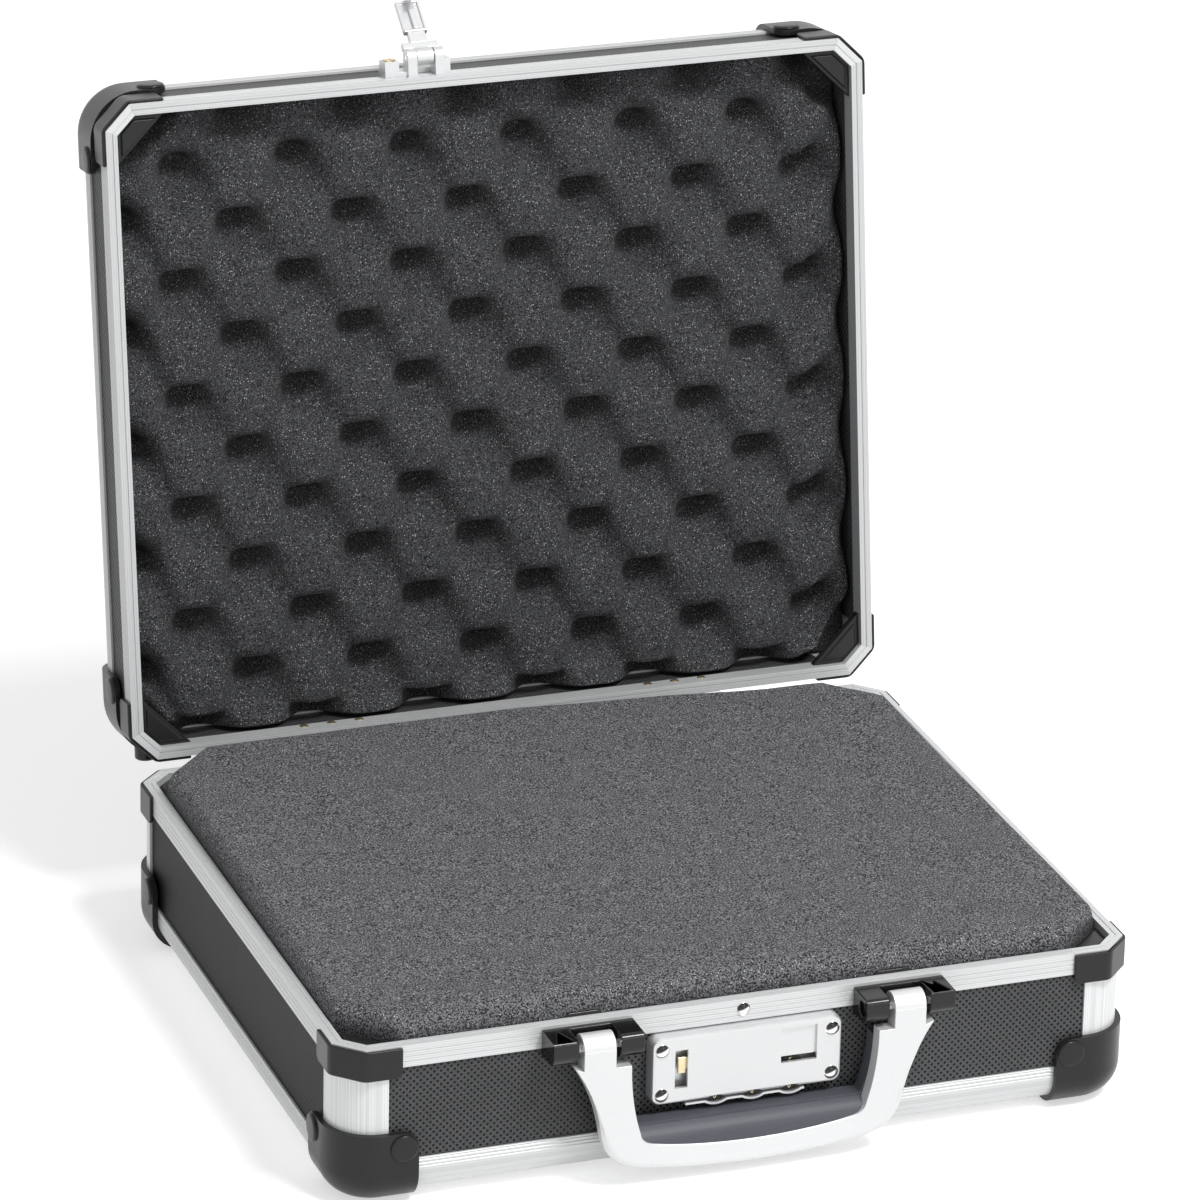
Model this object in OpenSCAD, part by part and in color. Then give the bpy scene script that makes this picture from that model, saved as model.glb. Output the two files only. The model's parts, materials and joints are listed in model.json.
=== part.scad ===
// Hard carrying case with aluminium edges, foam lining, a swinging handle and a combination hasp lock.
// The case stands on its floor with the lid open. Origin: middle of the whole footprint, on the ground.
// X runs to the right along the front, Y to the back (hinge side), Z up.

/* [Case] */
// Width over the aluminium rims
case_w = 340; // [320:1:420]
// Depth over the aluminium rims, front to back
case_d = 285.5; // [270:0.5:330]
// Height of the lower shell, with its corner caps
base_h = 70; // [68:1:110]
// Height of the lid shell, with its corner caps
lid_h = 48; // [46:1:80]
// How far the lid stands open, in degrees
lid_open = 98; // [0:1:98]
// Gap between the two rims when the lid is shut
seam = 0.4; // [0.3:0.1:1]

/* [Aluminium frame] */
// Width of the rim seen on the joint face
rim_w = 5.1; // [5:0.1:6]
// Depth of the rim profile
rim_leg = 9.5; // [8:0.5:12]
// Cut of the eight sided rim at each corner
rim_cut = 10.83; // [10:0.01:11.5]
// Radius of the rounded upright corners
post_r = 18.5; // [18:0.1:19]
// Radius of the rounded lower edges
edge_r = 12; // [11:0.5:12]
// Sheet thickness of the aluminium profiles
skin = 1.2; // [1:0.1:1.3]
// Thickness of the covered panels
panel_t = 2.7; // [2.5:0.1:2.8]

/* [Black plastic corners] */
// How far the corner caps stand proud
cap_t = 2.5; // [2:0.1:3]
// Length of a corner cap along each side
cap_run = 32.7; // [30:0.1:36]
// Height of a corner cap
cap_h = 32.4; // [30:0.1:34]
// Radius of the round cover on a cap's fixing stud
stud_r = 5.8; // [5:0.1:6]
// How far the rim caps stand proud
rim_cap_t = 1.5; // [1.2:0.1:2]
// Length of a rim cap along each side
rim_cap_run = 26; // [24:0.5:30]
// Height of a rim cap
rim_cap_h = 13; // [12:0.5:14]

/* [Foam] */
// How far the lid foam stays below the rim
lid_foam_gap = 10; // [10:0.5:12]
// How far the lower foam stands above the rim
base_foam_rise = 9; // [0:0.5:9]

/* [Handle] */
// Distance of each handle pivot from the middle
pivot_x = 66.3; // [62:0.1:72]
// Distance of the pivot in front of the rim
pivot_out = 9.75; // [9.5:0.05:10.5]
// Depth of the pivot below the rim face
pivot_drop = 6.7; // [6.5:0.1:7]
// Radius of the handle's pivot barrels
barrel_r = 5.9; // [5.5:0.1:6]
// Depth of the handle's metal front
handle_front_t = 6.5; // [5:0.5:7]
// Depth of the handle from front to back
handle_t = 13.5; // [12:0.5:13.5]

/* [Lock and hasp] */
// Width of the lock cover
lock_w = 81.5; // [80:0.5:84]
// Height of the lock cover
lock_h = 29.5; // [29:0.5:31]
// How far the lock cover stands in front of the rim
lock_out = 6; // [5.5:0.1:6.5]
// Gap between the rim's lower edge and the lock cover
lock_gap = 0.5; // [0.3:0.1:1]
// Sideways place of the hasp and its slot
hasp_x = -28; // [-29:0.5:-27]
// Length of the hasp from its pivot
hasp_len = 33; // [32:0.5:33]
// How far the hasp stands open from its shut place, in degrees
hasp_open = 136; // [0:1:136]
// Radius of the number dials
dial_r = 7.5; // [7:0.1:7.5]

/* [Hidden] */

$fn = 64;
aluminium = [0.80, 0.81, 0.83];
zinc = [0.76, 0.77, 0.79];
black = [0.10, 0.10, 0.11];
cover_grey = [0.22, 0.22, 0.23];
foam_grey = [0.34, 0.34, 0.36];
foam_dark = [0.14, 0.14, 0.15];
rubber = [0.25, 0.26, 0.28];
brass = [0.78, 0.66, 0.36];
chrome = [0.85, 0.85, 0.86];

hw = case_w / 2;
hd = case_d / 2;
slot_in = skin + panel_t;          // inner face of a panel, from the outer plane
edge_band = 5;                     // straight band above each rounded edge
band_top = edge_r + edge_band;
diag = 2 - sqrt(2);                // how fast a corner cut changes when the outline grows
post_x = hw - post_r;              // centre of the rounded corner
post_y = hd - post_r;
flange = 2.1;                      // flat flange beside each rounded corner
stud_u = cap_run - 6.2;            // stud centre from the outer plane
stud_z = cap_h - 6.4;
foam_floor = cap_t + slot_in + skin;
foam_x = hw - rim_w - 0.6;
foam_y = hd - rim_w - 0.65;
foam_cut = 22;

hinge_x = 79;
hinge_y = hd + 2.9;
hinge_z = base_h + seam / 2;
back_reach = hinge_y + (lid_h + seam / 2) * sin(lid_open)
    - (hinge_y + hd + cap_t - edge_r) * cos(lid_open);
mid_y = round((max(hd + 7, back_reach) - hd - pivot_out - 6) / 2);
hinge_w = 40;
knuckle_r = 2.3;
hinge_pin_r = 1.2;
leaf_t = 1.2;
rivet_r = 1.5;
rivet_drop = 6.4;                  // hinge rivets below the rim face
rivet_pitch = 12.5;

pivot_y = -hd - pivot_out;
pivot_z = base_h - pivot_drop;
handle_front = pivot_y - 6;
bracket_w = 38.5;
bracket_out = 15.25;
bracket_h = 11;
lobe_r = 5.5;
lobe_in = 10;                      // width of the bracket lobe beside the lock
tongue_w = 13.5;
pivot_pin_r = 2;

lock_front = -hd - lock_out;
lock_top = base_h - rim_leg - lock_gap;
lock_low = lock_top - lock_h;
lock_wall = 1.5;
lock_back = -hd + skin;            // face of the front panel
plate_front = lock_back - 2.4;
lock_rivet_x = 36.4;
lock_rivet_z = [base_h - 15.4, base_h - 35];
button_x = 22.2;
button_z = base_h - 20.2;
button_w = 15;
button_proud = 1.2;
button_travel = 1.8;
dial_x = [-12.8, 3.2, 19.2];
guard_z = lock_low - 0.7;           // upper side of the strip that guards the dials
guard_t = 0.9;
dial_z = guard_z + 6.5;
dial_t = 2.4;
dial_y = plate_front - 0.25;       // back face of the dials
dial_pin_r = 1.5;
slot_w = 5.5;
slot_x = hasp_x - 0.2;
slot_top = base_h - 15.9;
slot_low = base_h - 32.7;
catch_z = base_h - 23.5;
catch_h = 7;

hasp_y = -hd - 7.9;
hasp_z = base_h + seam + 5.5;
hasp_r = 3.6;
hasp_pin_r = 1.3;

// Points and curves

function unit(v) = v / norm(v);
function angle_of(v) = atan2(v.y, v.x);

// Eight sided outline of the rim, grown by g, from the front left point round to the right
function octagon(g, cut = rim_cut, a = hw, b = hd) =
    let (x = a + g, y = b + g, c = cut + diag * g)
    [[-(x - c), -y], [x - c, -y], [x, -(y - c)], [x, y - c],
     [x - c, y], [-(x - c), y], [-x, y - c], [-x, -(y - c)]];

// The same outline with its corners rounded
function rounded(pts, r, n = 6) =
    [for (i = [0:len(pts) - 1])
        let (p = pts[i],
             back = unit(pts[(i + len(pts) - 1) % len(pts)] - p),
             ahead = unit(pts[(i + 1) % len(pts)] - p),
             half = acos(back * ahead) / 2,
             c = p + unit(back + ahead) * r / sin(half),
             start = angle_of(p + back * r / tan(half) - c))
        for (k = [0:n]) c + r * [cos(start + (180 - 2 * half) * k / n),
                                 sin(start + (180 - 2 * half) * k / n)]];

function bezier(p, n = 10, first = 0) =
    [for (k = [first:n]) let (t = k / n, s = 1 - t)
        s * s * s * p[0] + 3 * s * s * t * p[1] + 3 * s * t * t * p[2] + t * t * t * p[3]];
function flip_x(pts) = [for (i = [len(pts) - 1:-1:0]) [-pts[i].x, pts[i].y]];

// Placing

// The origin is the middle of the whole footprint, open lid and handle included
module centred() {
    translate([0, -mid_y, 0]) children();
}
module at_corners() {
    for (sx = [0, 1], sy = [0, 1])
        mirror([sx, 0, 0]) mirror([0, sy, 0]) children();
}
module both_sides() {
    children();
    mirror([1, 0, 0]) children();
}
// Turns the lid from its shut place to where it stands open
module open_lid() {
    translate([0, hinge_y, hinge_z]) rotate([-lid_open, 0, 0]) translate([0, -hinge_y, -hinge_z]) children();
}
// A shell is drawn with its outside on the ground; the lid is the same shell upside down
module as_lid() {
    open_lid() translate([0, 0, base_h + seam + lid_h]) mirror([0, 0, 1]) children();
}
// A shape drawn in depth and height, run along X over a length
module run_x(length) {
    translate([-length / 2, 0, 0]) rotate([90, 0, 90]) linear_extrude(length) children();
}
module rod_x(x, length, r, y, z) {
    translate([x, y, z]) rotate([0, 90, 0]) cylinder(h = length, r = r);
}
module rod_y(y, length, r, x, z) {
    translate([x, y + length, z]) rotate([90, 0, 0]) cylinder(h = length, r = r);
}
module box(x, y, z) {
    translate([x[0], y[0], z[0]]) cube([x[1] - x[0], y[1] - y[0], z[1] - z[0]]);
}
module round_rect(w, h, r) {
    square([w - 2 * r, h], center = true);
    square([w, h - 2 * r], center = true);
    for (x = [-1, 1], y = [-1, 1]) translate([x * (w / 2 - r), y * (h / 2 - r)]) circle(r);
}

// Rim profile: u inwards from the outer plane, v upwards to the joint face at 0

module rim_profile() {
    rib_step = 2.1;
    difference() {
        translate([0, -rim_leg]) square([rim_w, rim_leg]);
        translate([skin, -rim_leg - 1]) square([panel_t, rim_leg - 0.4]);
        translate([slot_in, -rim_leg - 1]) square([rim_w, 1.5]);
        translate([rim_w / 2, -0.5]) square([0.6, 1]);
        for (k = [1:3]) translate([-0.25, -1 - rib_step * k]) square([0.5, 0.5]);
    }
}

// One of the eight mitred rim pieces of a shell whose joint face is at height h
module rim_piece(i, h) {
    outer = octagon(0);
    inner = octagon(-rim_w);
    j = (i + 1) % 8;
    reach = i % 2 == 1 ? (hw + hd - rim_cut) / sqrt(2) : (i % 4 == 0 ? hd : hw);
    length = i % 2 == 1 ? 120 : case_w + case_d;
    intersection() {
        translate([0, 0, h]) rotate([0, 0, i * 45]) translate([0, -reach, 0])
            run_x(length) rim_profile();
        translate([0, 0, h - rim_leg - 1]) linear_extrude(rim_leg + 2)
            polygon([outer[i], outer[j], inner[j], inner[i]]);
    }
}
module rim_corner_pieces(h) {
    for (i = [1:2:7]) rim_piece(i, h);
}

// Rounded lower edge profile: u inwards from the outer plane, v up from the underside

module edge_profile() {
    lip = slot_in;
    foot = edge_r + 6;
    difference() {
        union() {
            translate([0, edge_r]) square([rim_w, edge_band]);
            translate([edge_r, 0]) square([foot - edge_r, rim_w]);
            translate([lip, lip]) square([skin, band_top - lip]);
            translate([lip, lip]) square([foot - lip, skin]);
            intersection() {
                square(edge_r);
                translate([edge_r, edge_r]) difference() {
                    circle(edge_r);
                    circle(edge_r - skin);
                }
            }
        }
        translate([skin, edge_r]) square([panel_t, edge_band + 1]);
        translate([edge_r, skin]) square([foot, panel_t]);
        for (k = [0:2]) translate([-0.25, edge_r + 0.9 + 1.5 * k]) square([0.5, 0.5]);
    }
}
module edge_run(side, reach, length) {
    rotate([0, 0, side * 90]) translate([0, -reach, cap_t]) run_x(length) edge_profile();
}
module edge_profiles() {
    for (side = [0, 2]) edge_run(side, hd, 2 * (post_x - flange));
    for (side = [1, 3]) edge_run(side, hw, 2 * (post_y - flange));
}

// Solid with rounded upright corners and a rounded lower edge, grown by g
module rounded_block(g, h) {
    low = cap_t + edge_r;
    r = edge_r + g;
    core = post_r - edge_r;
    translate([0, 0, low]) linear_extrude(h - low)
        round_rect(case_w + 2 * g, case_d + 2 * g, post_r + g);
    translate([0, 0, low]) {
        at_corners() translate([post_x, post_y, 0]) rotate_extrude() edge_quarter(core, r);
        for (side = [0, 180]) rotate([0, 0, side]) translate([0, post_y, 0])
            run_x(2 * post_x) edge_quarter(core, r);
        for (side = [90, 270]) rotate([0, 0, side]) translate([0, post_x, 0])
            run_x(2 * post_y) edge_quarter(core, r);
        translate([-post_x, -post_y, -r]) cube([2 * post_x, 2 * post_y, r]);
    }
}
module edge_quarter(core, r) {
    translate([0, -r]) square([core, r]);
    intersection() {
        translate([core, 0]) circle(r);
        translate([core, -r]) square(r);
    }
}

// Upright corner post in the back right corner, as seen from above
module post_outline() {
    difference() {
        union() {
            intersection() {
                translate([post_x, post_y]) difference() {
                    circle(post_r);
                    circle(post_r - rim_w);
                }
                translate([post_x, post_y]) square(post_r);
            }
            translate([post_x - flange, hd - rim_w]) square([flange, rim_w]);
            translate([hw - rim_w, post_y - flange]) square([rim_w, flange]);
        }
        translate([post_x - flange - 1, hd - slot_in]) square([flange + 1.5, panel_t]);
        translate([hw - slot_in, post_y - flange - 1]) square([panel_t, flange + 1.5]);
    }
}
module corner_posts(h) {
    intersection() {
        at_corners() translate([0, 0, cap_t]) linear_extrude(h - rim_leg - cap_t) post_outline();
        rounded_block(0, h);
    }
}

// Panels of one shell
module long_panel(h) {
    low = cap_t + edge_r;
    box([-post_x - 0.4, post_x + 0.4], [-hd + skin, -hd + slot_in], [low, h - 1.4]);
}
module side_panels(h) {
    low = cap_t + edge_r;
    both_sides() box([hw - slot_in, hw - skin], [-post_y - 0.4, post_y + 0.4], [low, h - 1.4]);
}
module flat_panel() {
    box([-hw + edge_r, hw - edge_r], [-hd + edge_r, hd - edge_r], [cap_t + skin, cap_t + slot_in]);
}

// Outline of a cap seen square on: u from the outer plane, height from the ground
module cap_outline() {
    translate([-5, -1]) square([5 + stud_u, cap_h + 1]);
    translate([-5, -1]) square([5 + cap_run, stud_z + 1]);
    translate([stud_u, stud_z]) circle(cap_run - stud_u);
}
module rim_cap_outline(h) {
    top = h - 0.5;
    low = top - rim_cap_h;
    r = 3;
    translate([-5, low]) square([5 + rim_cap_run - r, rim_cap_h]);
    translate([-5, low + r]) square([5 + rim_cap_run, rim_cap_h - r]);
    translate([rim_cap_run - r, low + r]) circle(r);
}
// Space of both sides of the back right corner that a side outline covers
module corner_space() {
    intersection() {
        translate([hw, 0, 0]) mirror([1, 0, 0]) translate([0, hd + 20, 0])
            rotate([90, 0, 0]) linear_extrude(hd + 20) children();
        translate([0, hd, 0]) mirror([0, 1, 0])
            rotate([90, 0, 90]) linear_extrude(hw + 20) children();
    }
}
module stud_spots() {
    translate([hw - stud_u, hd + cap_t, stud_z]) rotate([-90, 0, 0]) children();
    translate([hw + cap_t, hd - stud_u, stud_z]) rotate([0, 90, 0]) children();
}
module corner_caps(h) {
    at_corners() difference() {
        intersection() {
            rounded_block(cap_t, h);
            corner_space() cap_outline();
        }
        rounded_block(0, h);
        stud_spots() cylinder(h = 8, r = 2.1, center = true);
    }
}
module cap_studs() {
    at_corners() stud_spots() rotate_extrude()
        polygon([[0, -cap_t], [2, -cap_t], [2, 0], [stud_r, 0], [stud_r, 0.5],
                 [stud_r - 0.35, 1], [stud_r - 1.1, 1.3], [0, 1.5]]);
}
module rim_caps(h) {
    at_corners() intersection() {
        linear_extrude(h + 1) difference() {
            polygon(rounded(octagon(rim_cap_t), 5));
            polygon(octagon(0));
        }
        corner_space() rim_cap_outline(h);
    }
}
module rear_feet(h) {
    foot_z = 21;
    foot_u = 13;
    both_sides() difference() {
        translate([hw - foot_u, hd, foot_z]) rotate([-90, 0, 0]) {
            cylinder(h = cap_t + 3.7, r = 4.8);
            translate([0, 0, cap_t + 3.7]) cylinder(h = 0.8, r1 = 4.8, r2 = 4);
        }
        rounded_block(cap_t, h);
    }
}
module corner_gussets(h) {
    inner = octagon(-rim_w);
    arm = 14;
    corner = [[inner[3].x, inner[3].y - arm], inner[3], inner[4], [inner[4].x - arm, inner[4].y]];
    middle = (corner[0] + corner[1] + corner[2] + corner[3]) / 4;
    raised = [for (p = corner) middle + 0.68 * (p - middle)];
    at_corners() {
        translate([0, 0, h - 7]) linear_extrude(4) polygon(corner);
        translate([0, 0, h - 3]) linear_extrude(1.2) polygon(raised);
    }
}

// Drilling for the hinge rivets, shared by rims, panels and leaves
module hinge_rivet_spots(z) {
    both_sides() for (k = [-1:1])
        translate([hinge_x + k * rivet_pitch, hd, z]) rotate([-90, 0, 0]) children();
}
module hinge_rivet_holes(z) {
    hinge_rivet_spots(z) cylinder(h = 20, r = rivet_r + 0.05, center = true);
}
module hinge_rivets(z) {
    hinge_rivet_spots(z) translate([0, 0, leaf_t]) rotate_extrude()
        polygon([[0, -rim_w - leaf_t - 0.5], [1.6, -rim_w - leaf_t - 0.4], [2.1, -rim_w - leaf_t],
                 [rivet_r, -rim_w - leaf_t], [rivet_r, 0], [2.3, 0], [1.8, 0.7], [0, 1]]);
}

// Lower shell

module base_floor_panel() color(cover_grey) centred() flat_panel();
module base_front_panel() color(cover_grey) centred() difference() {
    long_panel(base_h);
    lock_rivet_holes();
}
module base_back_panel() color(cover_grey) centred() difference() {
    rotate([0, 0, 180]) long_panel(base_h);
    hinge_rivet_holes(base_h - rivet_drop);
}
module base_side_panels() color(cover_grey) centred() side_panels(base_h);
module base_edge_profiles() color(aluminium) centred() edge_profiles();
module base_corner_posts() color(aluminium) centred() corner_posts(base_h);
module base_rim_front() color(aluminium) centred() difference() {
    rim_piece(0, base_h);
    rod_y(-hd - 1, 4.5, rivet_r + 0.05, 0, base_h - 4.5);
}
module base_rim_right() color(aluminium) centred() rim_piece(2, base_h);
module base_rim_back() color(aluminium) centred() difference() {
    rim_piece(4, base_h);
    hinge_rivet_holes(base_h - rivet_drop);
}
module base_rim_left() color(aluminium) centred() rim_piece(6, base_h);
module base_rim_corners() color(aluminium) centred() rim_corner_pieces(base_h);
module base_rim_caps() color(black) centred() rim_caps(base_h);
module base_corner_caps() color(black) centred() corner_caps(base_h);
module base_cap_studs() color(black) centred() cap_studs();
module base_rear_feet() color(black) centred() rear_feet(base_h);
module base_corner_gussets() color(black) centred() corner_gussets(base_h);

// Flat foam block with a rounded upper edge and room for the two bracket clips
module base_foam() {
    rise = base_h + base_foam_rise;
    slabs = [[foam_floor, 0], [rise - 7, 0], [rise - 3, 1.2], [rise - 1, 3.4], [rise - 0.02, 7]];
    color(foam_grey) centred() difference() {
        hull() for (s = slabs) translate([0, 0, s[0]])
            linear_extrude(0.02) polygon(octagon(-s[1], foam_cut, foam_x, foam_y));
        both_sides() box([pivot_x - 9.6, pivot_x + 9.6], [-foam_y - 1, -foam_y + 3.2],
                         [base_h - 10, base_h + 10]);
    }
}

// Lock

module lock_rivet_holes() {
    for (x = [-1, 1], z = lock_rivet_z)
        rod_y(lock_front - 1, 12, rivet_r + 0.05, x * lock_rivet_x, z);
}
// A slab of the cover's outline between two depths, drawn in by an inset
module cover_slab(inset, y0, y1) {
    translate([0, y1, lock_top - lock_h / 2]) rotate([90, 0, 0]) linear_extrude(y1 - y0)
        round_rect(lock_w - 2 * inset, lock_h - 2 * inset, 4 - inset);
}
module lock_cover() color(zinc) centred() difference() {
    hull($fn = 32) {
        cover_slab(1.6, lock_front, lock_front + 0.1);
        cover_slab(0.6, lock_front + 0.4, lock_front + 0.5);
        cover_slab(0, lock_front + 1.6, lock_back);
    }
    box([-lock_w / 2 + lock_wall, lock_w / 2 - lock_wall], [lock_front + lock_wall, lock_back + 1],
        [lock_low + lock_wall, lock_top - lock_wall]);
    box([slot_x - slot_w / 2, slot_x + slot_w / 2], [lock_front - 1, lock_front + 3], [slot_low, slot_top]);
    box([button_x - button_w / 2 - 0.2, button_x + button_w / 2 + 0.2], [lock_front - 1, lock_front + 3],
        [button_z - button_w / 2 - 0.2, button_z + button_w / 2 + 0.2]);
    for (x = dial_x) {
        rod_y(lock_front - 1, lock_wall + 2, 6.5, x, lock_low - 4.9);
    }
    box([dial_x[0] - 8.2, dial_x[2] + 8.2], [dial_y - dial_t - 0.4, lock_back + 1],
        [lock_low - 1, lock_low + lock_wall + 1]);
    lock_rivet_holes();
}
// Wavy strip below the cover, with an arc under each dial, as seen from the front
module guard_outline() {
    low = guard_z - guard_t;
    difference() {
        union() {
            translate([dial_x[0] - 13, low]) square([dial_x[2] - dial_x[0] + 19, guard_t]);
            for (x = dial_x) intersection() {
                translate([x, dial_z]) circle(dial_r + 0.4 + guard_t);
                translate([x - 10, guard_z - 10]) square([20, 10]);
            }
        }
        for (x = dial_x) translate([x, dial_z]) circle(dial_r + 0.4);
    }
}
module lock_base_plate() color(zinc) centred() difference() {
    union() {
        box([-lock_w / 2 + lock_wall + 0.1, lock_w / 2 - lock_wall - 0.1], [plate_front, lock_back],
            [lock_low + lock_wall + 0.1, lock_top - lock_wall - 0.1]);
        box([dial_x[0] - 8, dial_x[2] + 6], [plate_front, plate_front + skin],
            [guard_z - guard_t, lock_low + 5]);
        for (x = dial_x) rod_y(plate_front, skin, dial_r + 0.4 + guard_t, x, dial_z);
        translate([0, plate_front + skin, 0]) rotate([90, 0, 0])
            linear_extrude(plate_front + skin - lock_front - 0.7) guard_outline();
    }
    for (x = dial_x) rod_y(plate_front - 1, 6, dial_pin_r + 0.02, x, dial_z);
    lock_rivet_holes();
}
module dome_rivet(length) {
    rotate_extrude() polygon([[0, -length], [rivet_r, -length], [rivet_r, 0], [2.9, 0],
                              [2.8, 0.4], [2.2, 0.85], [1.2, 1.05], [0, 1.1]]);
}
module front_rivets() color(chrome) centred() {
    for (x = [-1, 1], z = lock_rivet_z)
        translate([x * lock_rivet_x, lock_front, z]) rotate([90, 0, 0])
            dome_rivet(lock_out + slot_in - 0.2);
    translate([0, -hd, base_h - 4.5]) rotate([90, 0, 0]) dome_rivet(skin);
}
module dial_pins() color(chrome) centred() for (x = dial_x)
    rod_y(dial_y - dial_t, dial_t + 0.25 + 2.4, dial_pin_r, x, dial_z);
module dial(x) {
    difference() {
        rod_y(dial_y - dial_t, dial_t, dial_r, x, dial_z);
        rod_y(dial_y - dial_t - 1, dial_t + 2, dial_pin_r + 0.05, x, dial_z);
        for (k = [0:19]) rotate_about([x, dial_z], 18 * k + 9)
            rod_y(dial_y - dial_t - 1, dial_t + 2, 0.6, x, dial_z + dial_r + 0.25);
    }
}
// Turns about an axis along Y through x, z
module rotate_about(p, a) {
    translate([p[0], 0, p[1]]) rotate([0, a, 0]) translate([-p[0], 0, -p[1]]) children();
}
module dial_left() color(black) centred() dial(dial_x[0]);
module dial_middle() color(black) centred() dial(dial_x[1]);
module dial_right() color(black) centred() dial(dial_x[2]);
// Push button with a flange behind the cover, hollowed where it comes down over a dial
module lock_button() {
    w = button_w / 2;
    color(zinc) centred() difference() {
        union() {
            hull() {
                box([button_x - w, button_x + w], [lock_front - 0.2, lock_front + lock_wall + 0.1],
                    [button_z - w, button_z + w]);
                box([button_x - w + 1.4, button_x + w - 1.4], [lock_front - button_proud, lock_front],
                    [button_z - w + 1.4, button_z + w - 1.4]);
            }
            box([button_x - w - 1.2, button_x + w + 1.2],
                [lock_front + lock_wall + 0.1, lock_front + lock_wall + 0.9],
                [button_z - w, button_z + w]);
        }
        rod_y(lock_front + 0.1, 5, dial_r + 0.3, dial_x[2], dial_z);
    }
}
// Brass slide: its nose shows in the slot and holds the hasp, its tail runs to the button
module lock_catch() color(brass) centred() {
    nose = slot_x - 0.8;
    y = [lock_front + lock_wall + 0.1, lock_front + lock_wall + 1.4];
    box([nose, nose + 3.2], y, [catch_z - catch_h / 2, catch_z + catch_h / 2]);
    box([nose + 3.2, button_x - button_w / 2 - 3.9], y, [catch_z - 1.5, catch_z + catch_h / 2]);
}

// Handle

module handle_bracket(s) {
    left = pivot_x - bracket_w / 2 + 0.3;
    right = left + bracket_w;
    top = base_h - 1.2;
    lobe_out = pivot_x + tongue_w / 2 + 2;
    front = -hd - bracket_out;
    mirror([s, 0, 0]) difference() {
        union() {
            box([left, right], [-hd - 2.5, -hd], [top - bracket_h - 1, top]);
            for (x = [[left, left + lobe_in], [lobe_out, right]]) {
                rod_x(x[0], x[1] - x[0], lobe_r, pivot_y, pivot_z);
                box(x, [pivot_y, -hd], [pivot_z - lobe_r, top]);
                box(x, [front, pivot_y], [pivot_z, top]);
            }
        }
        rod_x(left + 2.5, lobe_out + 5 - left, pivot_pin_r + 0.02, pivot_y, pivot_z);
        rod_x(left - 1, 3.5, 3.2, pivot_y, pivot_z);
        translate([(lobe_out + right) / 2, 0, top - 4]) linear_extrude(5)
            polygon([[0, -hd - 3.5], [-3.6, front + 1.6], [3.6, front + 1.6]]);
    }
}
module handle_bracket_left() color(black) centred() handle_bracket(1);
module handle_bracket_right() color(black) centred() handle_bracket(0);
module bracket_clips() color(black) centred() both_sides()
    translate([pivot_x, -hd + rim_w, base_h]) rotate([90, 0, 0]) translate([0, 0, -2.5])
        linear_extrude(2.5)
            polygon([[-8.6, -9], [8.6, -9], [8.6, -0.5], [6.4, 1.5], [-6.4, 1.5], [-8.6, -0.5]]);
module handle_pins() color(chrome) centred() both_sides()
    rod_x(pivot_x - bracket_w / 2 + 2.8, bracket_w - 10, pivot_pin_r, pivot_y, pivot_z);

// Half outlines of the handle seen from the front, heights from the rim face
shoulder_z = -14.5;
grip_z = -44.2;
handle_outer = concat(
    bezier([[76.7, -13.1], [69.5, -24], [66.5, -34], [65, -43.5]]),
    bezier([[65, -43.5], [63.4, -55], [58, -60.6], [46, -62.4]], 10, 1),
    bezier([[46, -62.4], [31, -64.6], [15, -65.6], [0, -65.6]], 8, 1));
handle_inner = concat(
    bezier([[0, -54.7], [14, -54.7], [29, -53.6], [43, -51]], 8),
    bezier([[43, -51], [46.5, -50.3], [48, -48.5], [48.5, -45.5]], 6, 1),
    bezier([[48.5, -45.5], [50.8, -38], [52.9, -28], [52.9, shoulder_z]], 8, 1));
liner_outer = bezier([[68, -20], [64, -30], [62, -36], [60.5, -43.5]], 6);
liner_corner = bezier([[60.5, -43.5], [59, -52], [55, -58.5], [45, -60]], 8, 1);

module handle_plate(y0, y1, half) {
    translate([0, y1, base_h]) rotate([90, 0, 0]) linear_extrude(y1 - y0)
        polygon(concat(half, flip_x(half)));
}
module frame_plate() {
    handle_plate(handle_front, handle_front + handle_front_t,
                 concat(handle_inner, [[pivot_x - tongue_w / 2, shoulder_z],
                                       [pivot_x + tongue_w / 2, shoulder_z]], handle_outer));
}
module handle_frame() color(aluminium) centred() difference() {
    union() {
        frame_plate();
        both_sides() {
            box([pivot_x - tongue_w / 2, pivot_x + tongue_w / 2],
                [handle_front, handle_front + handle_front_t + 1.5], [base_h + shoulder_z - 3, pivot_z]);
            rod_x(pivot_x - tongue_w / 2, tongue_w, barrel_r, pivot_y, pivot_z);
        }
    }
    both_sides() rod_x(pivot_x - tongue_w, 2 * tongue_w, pivot_pin_r + 0.06, pivot_y, pivot_z);
}
// Dark liner behind the metal, with the hand grip across the bottom
module handle_grip() {
    back = handle_front + handle_t;
    grip_w = 96;
    color(rubber) centred() difference() {
        union() {
            handle_plate(handle_front + handle_front_t, back,
                         concat([[0, grip_z], [47.8, grip_z]],
                                bezier([[48.4, -43.5], [50.8, -38], [52.9, -28], [52.9, -19]], 8),
                                [[58, -19]], liner_outer, liner_corner, [[0, -62]]));
            translate([0, 0, base_h]) run_x(grip_w) polygon(concat(
                bezier([[back - 0.6, grip_z], [back - 6, grip_z], [handle_front + 1.5, grip_z - 2.5],
                        [handle_front + 0.6, grip_z - 8]], 8),
                [[handle_front + 0.6, -56], [back - 0.6, -56]]));
        }
        frame_plate();
        both_sides() box([pivot_x - tongue_w / 2 - 0.1, pivot_x + tongue_w / 2 + 0.1],
            [handle_front, handle_front + handle_front_t + 1.6], [base_h + shoulder_z - 3.1, base_h]);
    }
}

// Hinges

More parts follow.
